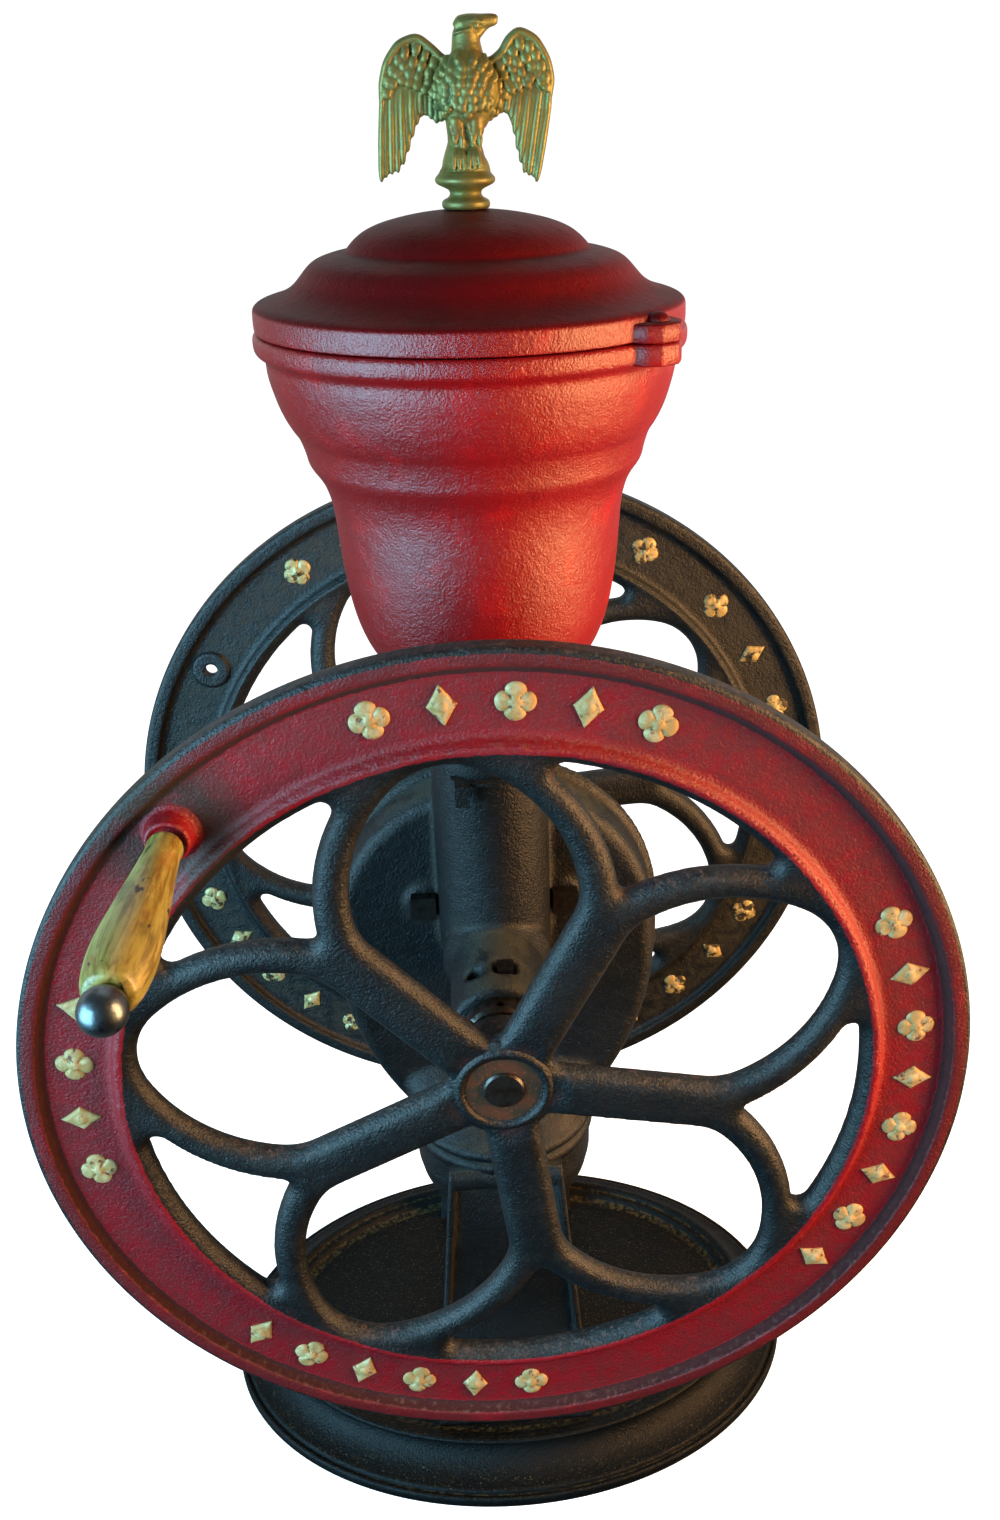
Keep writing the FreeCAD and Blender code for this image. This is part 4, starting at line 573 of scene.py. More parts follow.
# a drill from in front of the rim to behind it bores the rear boss through
DRILL = [(0, 130), (SPARE_BORE_R, 130), (SPARE_BORE_R, 155), (0, 155)]
drilled = bpy.data.objects.new("drilled", skin(rim(REAR_WHEEL_Y)))
drill = bpy.data.objects.new("drill", skin(swung(DRILL, (SPARE[0], 0, SPARE[1]), "Y", 32)))
for item in (drilled, drill):
    scene_objects.link(item)
cut = drilled.modifiers.new("cut", "BOOLEAN")
cut.object = drill
cut.solver = "EXACT"
graph = bpy.context.evaluated_depsgraph_get()
rear_rim = bpy.data.meshes.new_from_object(drilled.evaluated_get(graph))
for item in (drilled, drill):
    bpy.data.objects.remove(item)
rear = joined(web("rear_wheel", REAR_WHEEL_Y), rear_rim, skin(hub_face(REAR_WHEEL_Y, REAR_HUB_FACE, 1)),
              skin(boss(SPARE_BOSS, 0.7, SPARE, REAR_WHEEL_Y, 48)))
placed("rear_flywheel", wear_and_shade_marked(rear), "crank", "black_iron", black_japan, "rear_wheel")


# Ornaments: small raised castings in the wheels' channels, once gilt, the gold worn off their tops
# Rosettes and lozenges stand in turn, radially, along the arcs of the rim

ORNAMENT_RING = 188.5
CHANNEL_FLOOR = 5
ROSETTE_R, BEAD_R = 8.8, 2.3
LOZENGE_WIDE, LOZENGE_LONG = 6.6, 9.6
# bronze powder in varnish: pale gold, with the red paint or the black japan and dirt in its pits
front_gilt = finish("worn_front_gilding", "#b5935a", 0.55, [
    ("#d0b988", 0.5, 5, 0.44, 0.6, 0.7), ("#8a6a3a", 0.6, 1.6, 0.56, 0.68, 0.5),
    ("#571017", 0.6, 4, 0.58, 0.66, 0.85)], [(1.2, 0.12)], Metallic=0.1)
rear_gilt = finish("worn_rear_gilding", "#a8945c", 0.5, [
    ("#cabd8c", 0.45, 4, 0.46, 0.6, 0.8), ("#1b1712", 0.6, 5, 0.5, 0.58, 0.95)], [(1.2, 0.12)], Metallic=0.2)


def ornament(kind, angle, wheel_y, high=1.5):
    """A small raised figure: its outline is r(a), and over it the height falls from the middle to the edge as
    high (1 - s^6), with s the share of the way out, more at a middle bead and less in the petals' grooves."""
    a = np.linspace(0, 2 * math.pi, 64, endpoint=False)[:, None]
    s = np.linspace(1, 0, 15)[None, :]
    if kind == "rosette":
        r = ROSETTE_R * (0.72 + 0.28 * np.abs(np.cos(2 * a)) ** 0.6)
        groove = 0.55 * np.exp(-(np.sin(2 * (a - math.pi / 4)) / 0.35) ** 2) * (s > 0.3)
    else:
        across, along = np.abs(np.cos(a)) / LOZENGE_WIDE, np.abs(np.sin(a)) / LOZENGE_LONG
        r = 1 / (across ** 0.95 + along ** 0.95) ** (1 / 0.95)
        groove = 0 * a * s
    rise = high * (1 - s ** 6) * (1 - groove) + 0.9 * np.exp(-(s * r / BEAD_R) ** 4)
    u, v = s * r * np.cos(a), s * r * np.sin(a)
    sunk = np.where(s == 1, -0.6, 0)
    c, d = math.cos(angle), math.sin(angle)
    grid = np.stack([ORNAMENT_RING * c + v * c - u * d, wheel_y + CHANNEL_FLOOR - rise - sunk,
                     AXLE + ORNAMENT_RING * d + v * d + u * c], -1)
    back = grid[:, :1] * [1, 0, 1] + [0, wheel_y + CHANNEL_FLOOR + 0.6, 0]
    middle = np.repeat(back.mean(0, keepdims=True), len(a), 0)
    return np.concatenate([middle, back, grid], 1)


def ornaments(name, wheel_y, material, arcs):
    """A row of rosettes and lozenges over each arc of first angle, last angle and count."""
    figures = []
    for first, last, count in arcs:
        for number, angle in enumerate(np.radians(np.linspace(first, last, count))):
            figures.append(ornament("lozenge" if number % 2 else "rosette", angle, wheel_y))
    placed(name, skin(*figures), "crank", "gilt_paint", material, name.replace("gilding", "ornaments"))


ornaments("front_gilding", FRONT_WHEEL_Y, front_gilt,
          [(104.5, 69, 5), (24, -37.5, 8), (-87.5, -131, 6), (190.5, 163.5, 4)])
ornaments("rear_gilding", REAR_WHEEL_Y, rear_gilt,
          [(124, 59, 7), (42, 18, 3), (-28, -61, 4), (239, 198.5, 5)])


# Handle: a grip turned from beech and varnished, which turns on a steel stud in the front wheel
# Its varnish is worn, the wood under it bleached by light and stained nearly black with hand grease

# radius and depth along the stud, from the collar at the wheel to the end under the cap
GRIP = [(3.7, -151.2), (5.6, -151.2), (7, -152.4), (7.5, -154.5), (7.1, -157), (7.3, -163), (8, -173),
        (9.1, -187), (10.3, -201), (11.4, -215), (12.1, -227), (12.1, -237), (11.4, -246), (10.2, -252.4),
        (8.5, -255.7), (3.7, -255.7), (3.7, -151.2)]
# beech under old varnish: yellow-brown and streaked along the grip, with pale satin streaks that are painted
# highlights
GRAIN = (2.5, 45, 2.5)
varnished_beech = finish("varnished_beech", "#9c9446", 0.4, [
    # the second layer here, pale and glossier, is painted highlight
    ("#6f5c1a", 0.45, GRAIN, 0.42, 0.62, 0.85), ("#c9b86c", 0.36, (5, 30, 5), 0.48, 0.66, 0.7),
    ("#96561a", 0.4, (12, 26, 12), 0.56, 0.68, 0.4), ("#3f3a1c", 0.55, (14, 40, 14), 0.52, 0.66, 0.6),
    ("#171108", 0.6, (9, 14, 9), 0.62, 0.66, 0.95)],
    [(1.1, 0.12), (6, 0.4)], Coat_Weight=0.35, Coat_Roughness=0.25)
placed("turned_grip", skin(swung(rounded_line(GRIP, 6), (HANDLE[0], 0, HANDLE[1]), "Y", 96)), "grip", "wood",
       varnished_beech, "handle_grip")


# Hopper: a bell cast thin in iron and enamelled crimson; its skin shows the sand under the paint
# The lid turns aside on a pin through the two lugs at its right

# radius and height, down the outside from the rim and up the inside
HOPPER_TOP_Z, LUG_LOW_Z = 608.5, 600
HOPPER = [(94.9, 608.5), (96, 607), (96, 602.4), (95, 600.4), (92.6, 598.8), (91.4, 597), (91.2, 595),
          (91.1, 592), (90.4, 588), (89.2, 583.5), (87.6, 578), (85.4, 572.5), (82.4, 567), (80, 564),
          (77.4, 556), (76.6, 551), (72, 545), (69.2, 539), (67, 530), (65.2, 505), (63.6, 492), (61, 478),
          (57, 466), (52, 457), (44, 447), (38.5, 441), (38.5, 436), (40, 435), (45.4, 435), (46, 434.4),
          (46, 428.6), (45.4, 428), (18.5, 428), (18.5, 436), (34, 444), (40, 450), (48, 460), (53, 469),
          (57, 480), (59.6, 493), (61.2, 505), (63, 530), (65.2, 540), (72.4, 552), (76, 565), (83, 579),
          (84.5, 588), (87.2, 594), (87.2, 608), (87.7, 608.5), (94.9, 608.5)]
# radius and height over the lid's underside, from the crown out and back under it
LID_Z, LUG_HIGH = 609.1, 7.5
LID = [(0, 46.9), (10, 46.9), (21, 45.7), (30, 44), (38.5, 41.8), (45, 39), (49, 36), (51.5, 33.5),
       (53, 31.6), (54.5, 30.8), (58, 30.5), (62.5, 29.4), (67.2, 27.7), (70.5, 25), (73.4, 21.6),
       (77, 17.6), (82, 14.6), (88, 12.6), (92.6, 11.4), (94.6, 9.8), (95, 8), (95, 0.8), (94.2, 0), (89, 0),
       (88.5, 4), (86, 7.6), (74.5, 13), (68, 21), (60, 25.4), (52, 26.8), (49, 29.5), (42.5, 35), (28, 40),
       (8, 42.9), (0, 42.9)]
LUG_PLAN = [(72, -52), (62.5, -60), (60.8, -68.2), (69.6, -71.9), (76.6, -71.8), (84.2, -66), (86.2, -57),
            (82, -47), (76, -46), (72, -52)]
# stove enamel over a sand casting: crimson, satin, grained like an orange's skin; on the lid, painted shade
# # darkens what faces up, and dust and soot lie on its ledges
enamel = [("#75060c", 0.38, 55, 0.42, 0.66, 0.5), ("#b30a10", 0.32, 22, 0.54, 0.7, 0.5),
          ("#4a0709", 0.5, 1.6, 0.62, 0.74, 0.6)]
orange_skin = [(1.1, 0.5), (5, 0.5)]
hopper_enamel = finish("hopper_enamel", "#8e0309", 0.32, enamel, orange_skin, Specular_IOR_Level=0.75)
lid_enamel = finish("lid_enamel", "#8a0309", 0.32, enamel + [
    # a darker red over what faces up is painted shade; the layers after it are soot and dust
    ("#480204", 0.5, 40, 0.1, 0.4, 0.8, upward(0.2, 0.7)),
    ("#2a0706", 0.55, 30, 0.36, 0.62, 0.4, upward(0.5, 1)),
    ("#4a3c38", 0.85, 1.6, 0.62, 0.7, 0.35, upward(0.6, 1)),
    ("#5d5450", 0.7, 26, 0.4, 0.64, 0.35, upward(0.95, 0.99))], orange_skin)
# soot does not mirror: the lid shines on its upright band and is dull on top
BAND_SHINE, SOOT_SHINE = 0.75, 0.12
tree = lid_enamel.node_tree
shine = add(tree, "MapRange", {"To Min": BAND_SHINE, "To Max": SOOT_SHINE},
            {"Value": upward(0.1, 0.6)(tree, None)})
tree.links.new(shine.outputs["Result"], tree.nodes["Principled BSDF"].inputs["Specular IOR Level"])


def lug(low, high, broken=0.7):
    """A hinge lug: its plan, a block with flattened corners, carried up from low to high, its rims broken."""
    plan = rounded_line(LUG_PLAN, 1.4)[:-1]
    middle = plan.mean(0)
    rows = []
    for share, z in ((0, low), (0.94, low), (1, low + broken), (1, high - broken), (0.94, high), (0, high)):
        rows.append(np.column_stack([middle + share * (plan - middle), np.full(len(plan), z)]))
    return np.stack(rows, 1)


bell = skin(swung(rounded_line(HOPPER, 7), (0, 0, 0), "Z", 256), lug(LUG_LOW_Z, HOPPER_TOP_Z))
placed("hopper_bell", bell, "frame", "red_enamel", hopper_enamel, "hopper")
dome = skin(swung(rounded_line(LID, 5), (0, 0, LID_Z), "Z", 256), lug(LID_Z, LID_Z + LUG_HIGH))
placed("lid_dome", dome, "lid", "red_enamel", lid_enamel, "lid")
dress(lid_enamel, "lid_pin")


# Base and pedestal: two more castings, the oval base with a sunk pan and a square-edged foot, and on it a
# funnel that stands on two broad legs; four bolts come up through the pan into the legs

# the rim's half axes, and how much further the foot spreads towards the front than to the side
RIM_X, RIM_Y = 146.5, 106.3
FOOT_SPREAD = 23.7 / 22
COVE_OUT, COVE_UP, COVE_Z = 17.5, 14.4, 7.8
# distance out from the rim's oval and height: under the foot and over it, then over the rim into the pan
BASE_IN = [(-8, 11), (-7, 10), (-7, 0.8), (-6, 0), (21.4, 0), (22, 0.6), (22, 5.5), (21.3, 6.2), (19.8, 6.2),
           (19.3, 5.4), (18.8, 5.2), (18.5, 5.6), (18.3, 7.2), (17.8, 7.8)]
BASE_OUT = [(0.1, 21.4), (-0.5, 22.2), (-2.8, 22.3), (-3.8, 21.7), (-4.6, 20.3), (-5.4, 19.8), (-7.2, 19.8),
            (-8.4, 19.1), (-9.6, 17.4), (-11, 16.4), (-13.5, 16), (-16, 16), (-19, 16), (-23, 16)]


def base_skin():
    """The base: rings outside the rim's oval by a distance, from the hollow under it over the foot, up a cove
    of distance COVE_OUT (1 - sin s) and height COVE_Z + COVE_UP (1 - cos s), and over the rim to the pan."""
    s = np.radians(np.linspace(4, 86, 14))
    cove = np.column_stack([COVE_OUT * (1 - np.sin(s)), COVE_Z + COVE_UP * (1 - np.cos(s))])
    out, z = np.vstack([BASE_IN, cove, BASE_OUT]).T
    a = np.linspace(0, 2 * math.pi, 256, endpoint=False)[:, None]
    grid = np.stack([(RIM_X + out) * np.cos(a), (RIM_Y + out * FOOT_SPREAD) * np.sin(a), z + 0 * a], -1)
    ends = grid[:, [0, -1]] * [0, 0, 1]
    return np.concatenate([ends[:, :1], grid, ends[:, 1:]], 1)


FUNNEL = [(36, 161.5), (36, 172.5), (50, 172.5), (52, 170.4), (52, 166.6), (50.2, 164.8), (50, 147.5),
          (47.6, 137), (43.6, 129), (38, 122.5), (35, 116), (34, 110), (29, 110), (30, 116), (33, 123.5),
          (38.6, 130), (42.6, 138), (45, 147.5), (45, 161.5), (36, 161.5)]
PAN_Z, LEG_TOP_Z = 16, 168.5
LEG_BORDER, LEG_RECESS, LEG_THICK = 3.2, 2.8, 11
LEG_HALF, LEG_NARROWS = 44, 13
LEG_OUT, LEG_LEANS = 88, 38
RECESS_LOW_Z, RECESS_TOP_Z, RECESS_SLOPE = 25, 158, 1.6


def leg(side):
    """A leg: rings at rising heights, narrower and further in as they rise. Its outer face is sunk by
    LEG_RECESS where it is over LEG_BORDER from its sides, between RECESS_LOW_Z and RECESS_TOP_Z."""
    z = np.r_[PAN_Z, 18, 23, 24, 25, 26.5, np.linspace(30, 152, 14), 155, 156.5, 157.5, 158.5, 162, LEG_TOP_Z]
    rise = (z - PAN_Z) / (LEG_TOP_Z - PAN_Z)
    half, face = LEG_HALF - LEG_NARROWS * rise, LEG_OUT - LEG_LEANS * rise
    u = np.r_[-1, -0.985, np.linspace(-0.95, -0.86, 7), np.linspace(-0.8, 0.8, 17),
              np.linspace(0.86, 0.95, 7), 0.985, 1][:, None]
    inside = np.minimum(half * (1 - np.abs(u)) - LEG_BORDER, np.minimum(z - RECESS_LOW_Z, RECESS_TOP_Z - z))
    share = np.clip(inside / RECESS_SLOPE, 0, 1)
    sunk = LEG_RECESS * share ** 2 * (3 - 2 * share) + 0.9 * (np.abs(u) == 1)
    outer = np.stack([u * half, side * (face - sunk), z + 0 * u], -1)
    inner = np.stack([np.array([[1], [-1]]) * half, side * (face - LEG_THICK) + np.zeros((2, 1)),
                      z + np.zeros((2, 1))], -1)
    grid = np.concatenate([outer, inner], 0)
    ends = np.broadcast_to(grid[:, [0, -1]].mean(0), (len(grid), 2, 3))
    return np.concatenate([ends[:, :1], grid, ends[:, 1:]], 1)


placed("base_casting", wear_and_shade_marked(skin(base_skin())), "frame", "black_iron", dusty_japan, "base")
funnel = swung(rounded_line(FUNNEL, 1.6), (0, 0, 0), "Z", 128)
placed("pedestal_casting", wear_and_shade_marked(skin(funnel, leg(-1), leg(1))), "frame", "black_iron", dusty_case,
       "pedestal")


# Eagle: a bird with raised wings, cast in brass on a turned foot and screwed to the lid, its gold gone green
# It is built like the founder's pattern: a core, then arms, feathers and scales on it, all of it cast as one

def bulge(spine, steps=20):
    """A closed skin round a spine, given as points x, y, z, half width and half depth: rings of
    (width cos a, depth sin a) that lie square to the spine, and shrink to points at its ends."""
    spine = np.array(spine, float)
    middle, wide, deep = spine[:, :3], spine[:, 3], spine[:, 4]
    t = np.linspace(0, len(spine) - 1, 5 * len(spine))
    place = np.arange(len(spine))
    middle = np.column_stack([np.interp(t, place, middle[:, axis]) for axis in range(3)])
    soft = np.array([0.25, 0.5, 0.25])
    for _ in range(3):
        middle[1:-1] = np.column_stack([np.convolve(middle[:, axis], soft, "valid") for axis in range(3)])
    wide, deep = np.interp(t, place, wide), np.interp(t, place, deep)
    along = np.gradient(middle, axis=0)
    along /= np.linalg.norm(along, axis=1)[:, None]
    across = np.cross(along, [0, 1, 0])
    across /= np.linalg.norm(across, axis=1)[:, None]
    depth = np.cross(across, along)
    a = np.linspace(0, 2 * math.pi, steps, endpoint=False)[:, None, None]
    grid = middle + np.cos(a) * across * wide[:, None] + np.sin(a) * depth * deep[:, None]
    ends = np.broadcast_to(middle[[0, -1]], (steps, 2, 3))
    return np.concatenate([ends[:, :1], grid, ends[:, 1:]], 1)


def feather(root, tip, half, thick):
    """A feather: a flat spindle from root to tip. Its half width rises from 0.5 half to half and falls to
    0.25 half at the tip, and its half depth is in proportion, thick at most."""
    share = np.array([0, 0.08, 0.5, 0.85, 0.96, 1])
    path = np.array(root) + share[:, None] * (np.array(tip) - np.array(root))
    wide = half * np.array([0.5, 0.8, 1, 0.9, 0.6, 0.25])
    return bulge(np.column_stack([path[:, 0], np.zeros(6), path[:, 1], wide, thick * wide / half]), 12)


def pillow(outline, centre, thick):
    """A closed outline blown up like a pillow: its half thickness is thick (1 - s^3)^0.5 at the share s of
    the way from the centre to the outline."""
    outline, centre = np.array(outline, float), np.array(centre, float)
    s = np.cos(np.linspace(0, math.pi, 17))
    half = thick * np.sqrt(1 - np.abs(np.sqrt(1 - s ** 2)) ** 3) * np.sign(s)
    flat = centre + np.sqrt(1 - s ** 2)[None, :, None] * (outline - centre)[:, None]
    return np.stack([flat[..., 0], np.broadcast_to(-half, flat.shape[:2]), flat[..., 1]], -1)


def scales(path, count, half, hang, y_of):
    """A row of count scale feathers along a path of x, z points, on the bird's front and back alike. Each
    leans and drops by hang, and is moved, sized and raised a little at random. y_of gives how far out the
    surface lies there."""
    path = np.array(path, float)
    far = np.concatenate([[0], np.cumsum(np.hypot(*np.diff(path, axis=0).T))])
    found = []
    for share in np.linspace(0, far[-1], count):
        x, z = (np.interp(share, far, path[:, axis]) + chance.uniform(-0.45, 0.45) for axis in (0, 1))
        wide = half * chance.uniform(0.85, 1.15)
        proud = chance.uniform(-0.15, 0.15)
        lean, drop = hang
        for side in (-1, 1):
            found.append(bulge([
                (x - lean * 0.5, side * (y_of(x, z) - 0.9), z + drop * 0.5, wide * 0.6, 0.5),
                (x, side * (y_of(x, z) - 0.1 + proud), z, wide, 0.75),
                (x + lean * 0.5, side * (y_of(x, z - drop / 2) + 0.2 + proud), z - drop * 0.5, wide * 0.95,
                 0.8),
                (x + lean * 0.8, side * (y_of(x, z - drop) + proud), z - drop * 0.85, wide * 0.5, 0.4)], 10))
    return found


chance = np.random.default_rng(3)
# spines of x, y, z, half width and half depth, and outlines and feathers' ends of x and z
CORE = [(0, 0, 668, 11.5, 11), (0.3, 0, 672, 10.6, 10), (0, 0, 675, 9.4, 8.8), (-0.2, 0, 678, 8, 7.2),
        (0, 0, 681, 6.7, 5.8), (0.2, 0, 684.5, 7, 5.2), (0.8, -0.3, 689, 8.2, 5.4),
        (1.6, -0.8, 692, 9.6, 6.6), (2, -1.2, 695.5, 11.6, 7.8), (2.2, -1.4, 699, 13, 8.8),
        (2.3, -1.4, 704, 13.4, 9.2), (2.5, -1.1, 708.5, 12.6, 8.6), (2.7, -0.7, 712.5, 9.6, 7.6),
        (2.8, -0.3, 716, 6.6, 6.4), (2.6, 0, 719.5, 5.9, 5.8), (2.8, 0, 723, 5.7, 5.4),
        (3.2, 0, 726, 4.2, 4.8), (3.8, 0, 728, 2.2, 3)]
# the turned foot's radius and height
FOOT = [(0, 656.2), (9.3, 656.2), (10.3, 657), (10.4, 659.2), (9.3, 660.2), (7.6, 660.8), (6.6, 662.2),
        (7, 663.8), (9.5, 665), (12.2, 666.2), (13.1, 667.6), (12.6, 669), (11.6, 669.8), (10.8, 671),
        (0, 671)]
left_arm = [(-3, 0, 712, 2.4, 3), (-7.5, 0, 713.6, 1.9, 2.9), (-11.8, 0, 717.6, 1.9, 2.9),
            (-17.5, 0, 721.9, 1.9, 2.8), (-25, 0, 719.4, 1.9, 2.7), (-30.4, 0, 712.6, 1.8, 2.5),
            (-32.6, 0, 705, 1.7, 2.2), (-33.2, 0, 698, 1.3, 1.9), (-33.2, 0, 692, 0.9, 1.5)]
right_arm = [(8, 0, 711.4, 2.4, 3), (13, 0, 712.6, 1.9, 2.9), (17.4, 0, 715.8, 1.9, 2.9),
             (20.2, 0, 720.6, 1.9, 2.9), (24.4, 0, 723.7, 1.9, 2.8), (31, 0, 720.6, 1.9, 2.7),
             (35.8, 0, 713, 1.8, 2.5), (37.4, 0, 705.5, 1.7, 2.2), (36.2, 0, 698, 1.3, 1.9),
             (34.6, 0, 691, 0.9, 1.5)]
left_wing = [(-5, 714), (-9, 715.5), (-13, 719.5), (-18, 722.5), (-25, 720), (-31, 712.5), (-33.6, 703),
             (-33.2, 690), (-34.8, 669), (-31.6, 670.6), (-28, 671.8), (-24.6, 677), (-21.4, 685),
             (-18, 692.6), (-15, 693.8), (-10, 690.6), (-5, 694)]
right_wing = [(10, 712.5), (14, 713.5), (18.4, 717), (21, 722), (24.6, 724.4), (31, 721.4), (36.4, 713),
              (38.2, 705), (36, 695), (33, 684), (31.4, 673), (29.6, 667.6), (26.6, 670.2), (23.8, 676.4),
              (21.4, 686), (18.4, 694.2), (14, 694), (10, 691)]


def smooth_outline(points, rounds=2):
    """A closed outline with its corners cut off at a quarter and three quarters of every side, in rounds."""
    points = np.array(points, float)
    for _ in range(rounds):
        after = np.roll(points, -1, 0)
        points = np.stack([0.75 * points + 0.25 * after, 0.25 * points + 0.75 * after], 1).reshape(-1, 2)
    return points


def flight(roots, tips, half):
    """The long feathers of a wing side by side, every second one a little thinner than its neighbours."""
    return [feather(root, tip, half, 1.75 if number % 2 else 2.0)
            for number, (root, tip) in enumerate(zip(roots, tips))]


left_tips = [(-35.5, 667.3), (-33.4, 669), (-30.8, 670.2), (-28.2, 670.8), (-25.8, 674), (-23.6, 679),
             (-21.5, 684.5), (-19.4, 689.2), (-17.4, 692.2), (-15.2, 692.6), (-13, 691.2), (-10.9, 689.6),
             (-8.8, 690.2)]
left_roots = [(-33.2, 699), (-31.2, 703), (-29, 705.5), (-26.8, 706.5), (-24.8, 706.5), (-22.8, 706),
              (-20.8, 705.5), (-18.8, 705), (-16.8, 704.5), (-14.8, 703.5), (-12.8, 702.5), (-10.8, 701.5),
              (-8.8, 700.5)]
right_tips = [(30.4, 666.2), (29.4, 668), (27.2, 668.8), (25.2, 669.8), (23.8, 674), (22.6, 679),
              (21.6, 685), (20.4, 690.2), (18.2, 693), (15.8, 693), (13.6, 691.6), (11.4, 690.2)]
right_roots = [(36.8, 699), (35.2, 703), (33.2, 705), (31, 706), (28.8, 706), (26.8, 705.5), (24.8, 705),
               (22.8, 704.5), (20.4, 704), (18, 703), (15.8, 702), (13.6, 701)]


WING_DEPTH = 2.2


def chest_depth(x, z):
    """How far forward the core's skin lies at x and height z, from its rings, and on the wings WING_DEPTH."""
    core = np.array(CORE)
    middle, forward, wide, deep = (np.interp(z, core[:, 2], core[:, item]) for item in (0, 1, 3, 4))
    return max(deep * math.sqrt(max(1 - ((x - middle) / wide) ** 2, 0)) - forward, WING_DEPTH)


# six rows of scales over the breast, each a little wider than the one above and sagging to its sides
CHEST_X, CHEST_Z, CHEST_ROWS, ROW_APART = 2.3, 714.8, 6, 3.1
chest = []
for row in range(CHEST_ROWS):
    z = CHEST_Z - ROW_APART * row
    spread = 7.2 + min(2.0 * row, 5.4)
    chest += scales([(CHEST_X - spread, z - 1.2), (CHEST_X, z + 0.5), (CHEST_X + spread, z - 1.2)],
                    round(spread * 0.52) + row % 2, 2.0, (0, 3.6), chest_depth)
chest += scales([(-7.6, 694.2), (-4.4, 697), (-1, 696.6), (2.2, 694), (5.6, 696.6), (9, 697), (12, 694.2)],
                9, 1.8, (0, 3.0), lambda x, z: chest_depth(x, z) + 0.8)
coverts = []
for path, count in (([(-7, 711.5), (-12.5, 714.6), (-18, 718.3), (-24, 716.2), (-28.6, 710.4),
                      (-30.8, 703)], 9),
                    ([(-9, 708.2), (-15, 711.4), (-20, 714.2), (-24.4, 711.6), (-27.8, 706.4)], 7),
                    ([(-10, 705), (-15.5, 708), (-20.4, 710.2), (-24.4, 707.6)], 5),
                    ([(-11, 702.4), (-16, 704.8), (-21, 706.6)], 4)):
    coverts += scales(path, count, 1.9, (-0.9, 4.0), lambda x, z: WING_DEPTH)
for path, count in (([(12, 710), (16.8, 712.4), (20.8, 716), (25, 720), (30, 717.4), (33.6, 711),
                      (35, 704)], 10),
                    ([(14, 706.8), (19, 709.4), (23, 713.4), (27, 715), (30.8, 711), (32.4, 705.4)], 8),
                    ([(15, 703.6), (20, 706.4), (24.6, 710), (28.6, 708)], 5),
                    ([(17, 702), (22, 704.8), (26.6, 705.6)], 4)):
    coverts += scales(path, count, 1.9, (0.9, 4.0), lambda x, z: WING_DEPTH)
# skull and upper bill, lower bill, and a ruff of feathers over the neck; then on each side a brow and an eye
head = [bulge([(-1.4, 0, 724.2, 2.6, 3.0), (1.0, 0, 725.6, 4.2, 4.6), (4.2, 0, 726.1, 4.1, 5.0),
               (7.4, 0, 726.6, 3.6, 4.4), (10.4, 0, 727.3, 2.8, 3.4), (13.0, 0, 727.6, 2.5, 2.5),
               (15.0, 0, 727.8, 2.1, 1.8), (15.9, 0, 727.7, 1.3, 1.1)]),
        bulge([(5.6, 0, 721.6, 2.4, 3.6), (8.0, 0, 723.4, 2.0, 3.0), (10.6, 0, 725.2, 1.3, 1.8),
               (13.4, 0, 726.2, 0.7, 0.8)]),
        bulge([(-2.6, 0, 722.6, 0.7, 4.6), (1, 0, 723.6, 0.8, 6.2), (5, 0, 724.4, 0.7, 5.6)], 24)]
for side in (-1, 1):
    head.append(bulge([(3.8, side * 4.2, 727.0, 0.7, 0.7), (6.6, side * 4.5, 727.3, 0.9, 0.8),
                       (9.6, side * 3.5, 726.6, 0.7, 0.7)], 10))
    head.append(bulge([(6.6, side * 4.0, 725.4, 1.0, 0.9), (7.6, side * 3.9, 725.4, 1.0, 0.9)], 10))
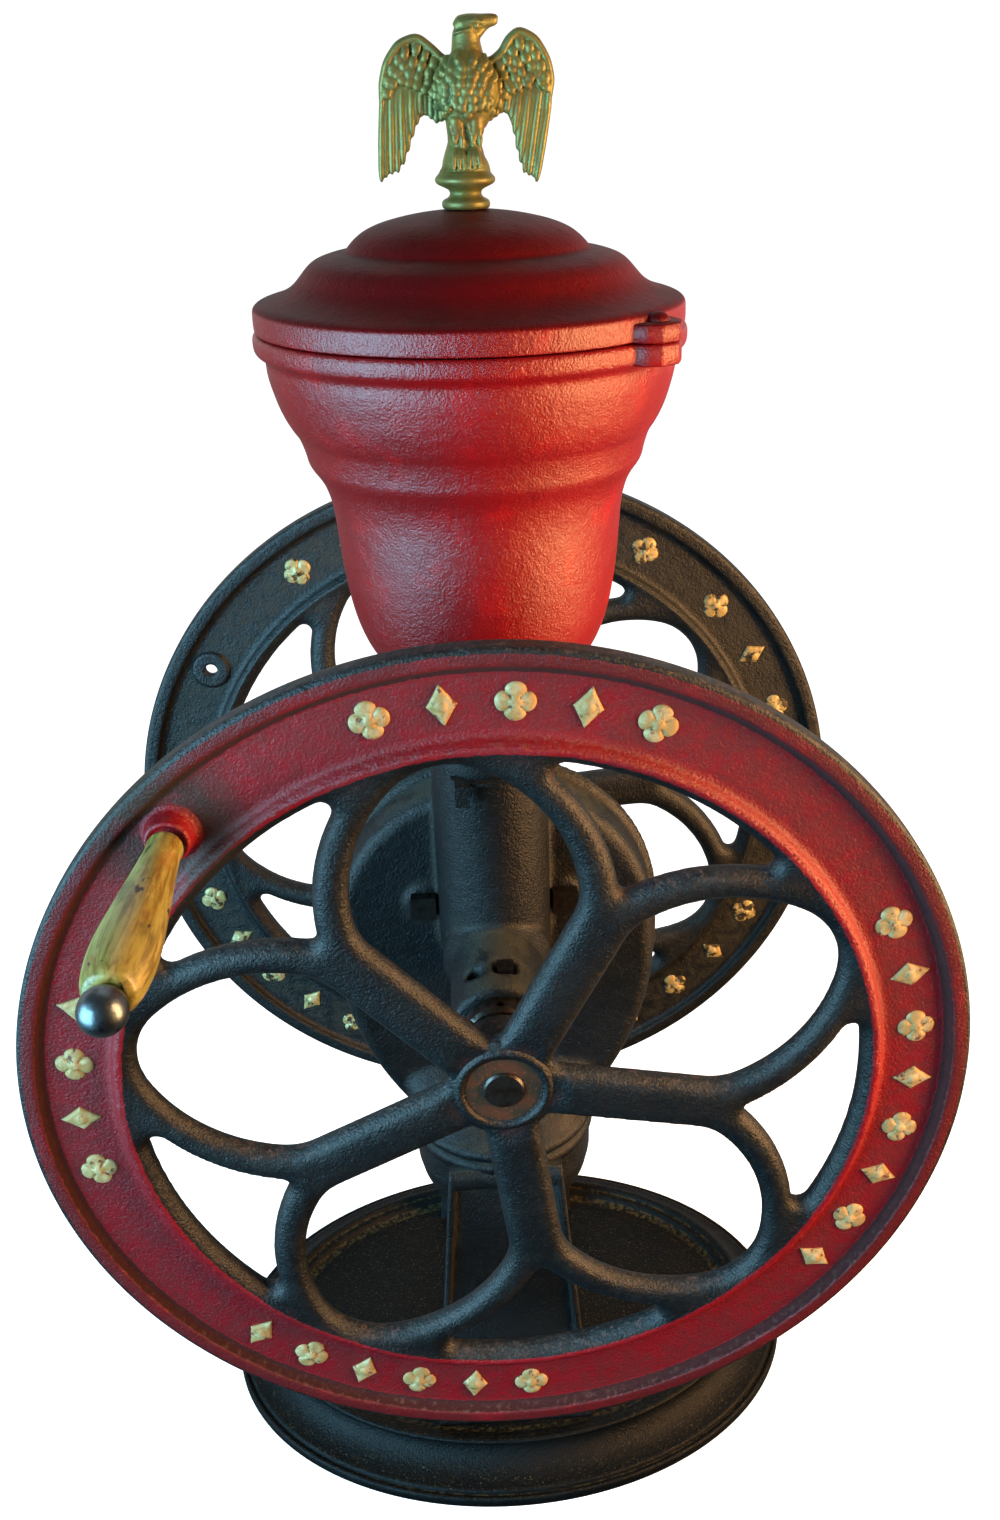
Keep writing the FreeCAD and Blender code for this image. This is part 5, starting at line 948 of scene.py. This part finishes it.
# two feathered thighs with tufts that wind down them, three toes on each, and five tail feathers behind
legs = []
for x in (-2.6, 5.0):
    legs.append(bulge([(x * 1.05, -2.4, 693.6, 2.6, 3.4), (x * 1.1, -3.6, 690.5, 3.7, 4.0),
                       (x * 1.05, -3.6, 687, 3.6, 3.6), (x * 0.95, -3.2, 683, 2.4, 2.8),
                       (x * 0.85, -4, 679.8, 2.0, 2.4)]))
    for tuft in range(7):
        swing, lower = 2.2 * math.sin(2.4 * tuft), 1.3 * tuft
        legs.append(bulge([
            (x + swing, -5.6, 693.4 - lower, 0.7, 0.7), (x + swing, -6.4, 691 - lower, 1.1, 0.8),
            (x + 0.9 * swing, -6.2, 688.4 - lower, 0.6, 0.5)], 8))
    for toe in (-2.3, 0, 2.3):
        legs.append(bulge([
            (x * 0.8 + 0.5 * toe, -5.4, 679.5, 1.0, 1.2), (x * 0.8 + 0.8 * toe, -8.0, 677.4, 1.05, 1.1),
            (x * 0.85 + toe, -9.0, 674.4, 0.9, 1.0), (x * 0.85 + toe, -10.0, 672.2, 0.6, 0.7)], 10))
tail = [bulge([(x * 0.5 + 0.6, 4.5, 690, 1.4, 1.6), (x * 0.9 + 0.3, 6.8, 682, 1.7, 1.6),
               (x * 1.3, 8.6, 674, 1.8, 1.4), (x * 1.4, 9.6, 670.5, 1.2, 1.0)], 12)
        for x in (-6, -3, 0, 3, 6)]
bird = skin(bulge(CORE, 32), swung(rounded_line(FOOT, 0.8), (0, 0, 0), "Z", 64), bulge(left_arm),
            bulge(right_arm), pillow(smooth_outline(left_wing), (-22, 704), 1.5),
            pillow(smooth_outline(right_wing), (24.5, 704), 1.5), *flight(left_roots, left_tips, 1.6),
            *flight(right_roots, right_tips, 1.65), *chest, *coverts, *head, *legs, *tail)
# bronze paint over brass, gone olive green, lighter on its raised edges where it is rubbed and as painted
# # highlight, and dark brown painted shade in its hollows
green_gilding = finish("green_gilding", "#7c743a", 0.42, [
    ("#67744a", 0.45, 9, 0.42, 0.62, 0.6), ("#63481c", 0.5, 12, 0.5, 0.66, 0.5),
    # painted highlight with rubbing on the raised edges, and painted shade in the hollows
    ("#c6bf84", 0.35, 3, 0.3, 0.6, 0.3, edge), ("#2a2008", 0.7, 4, 0.15, 0.45, 0.75, nook)],
    [(0.9, 0.15)], Metallic=0.5)
placed("eagle", wear_and_shade_marked(eased(bird, 0.4, 2), 1), "lid", "bird_paint", green_gilding, "eagle_finial")
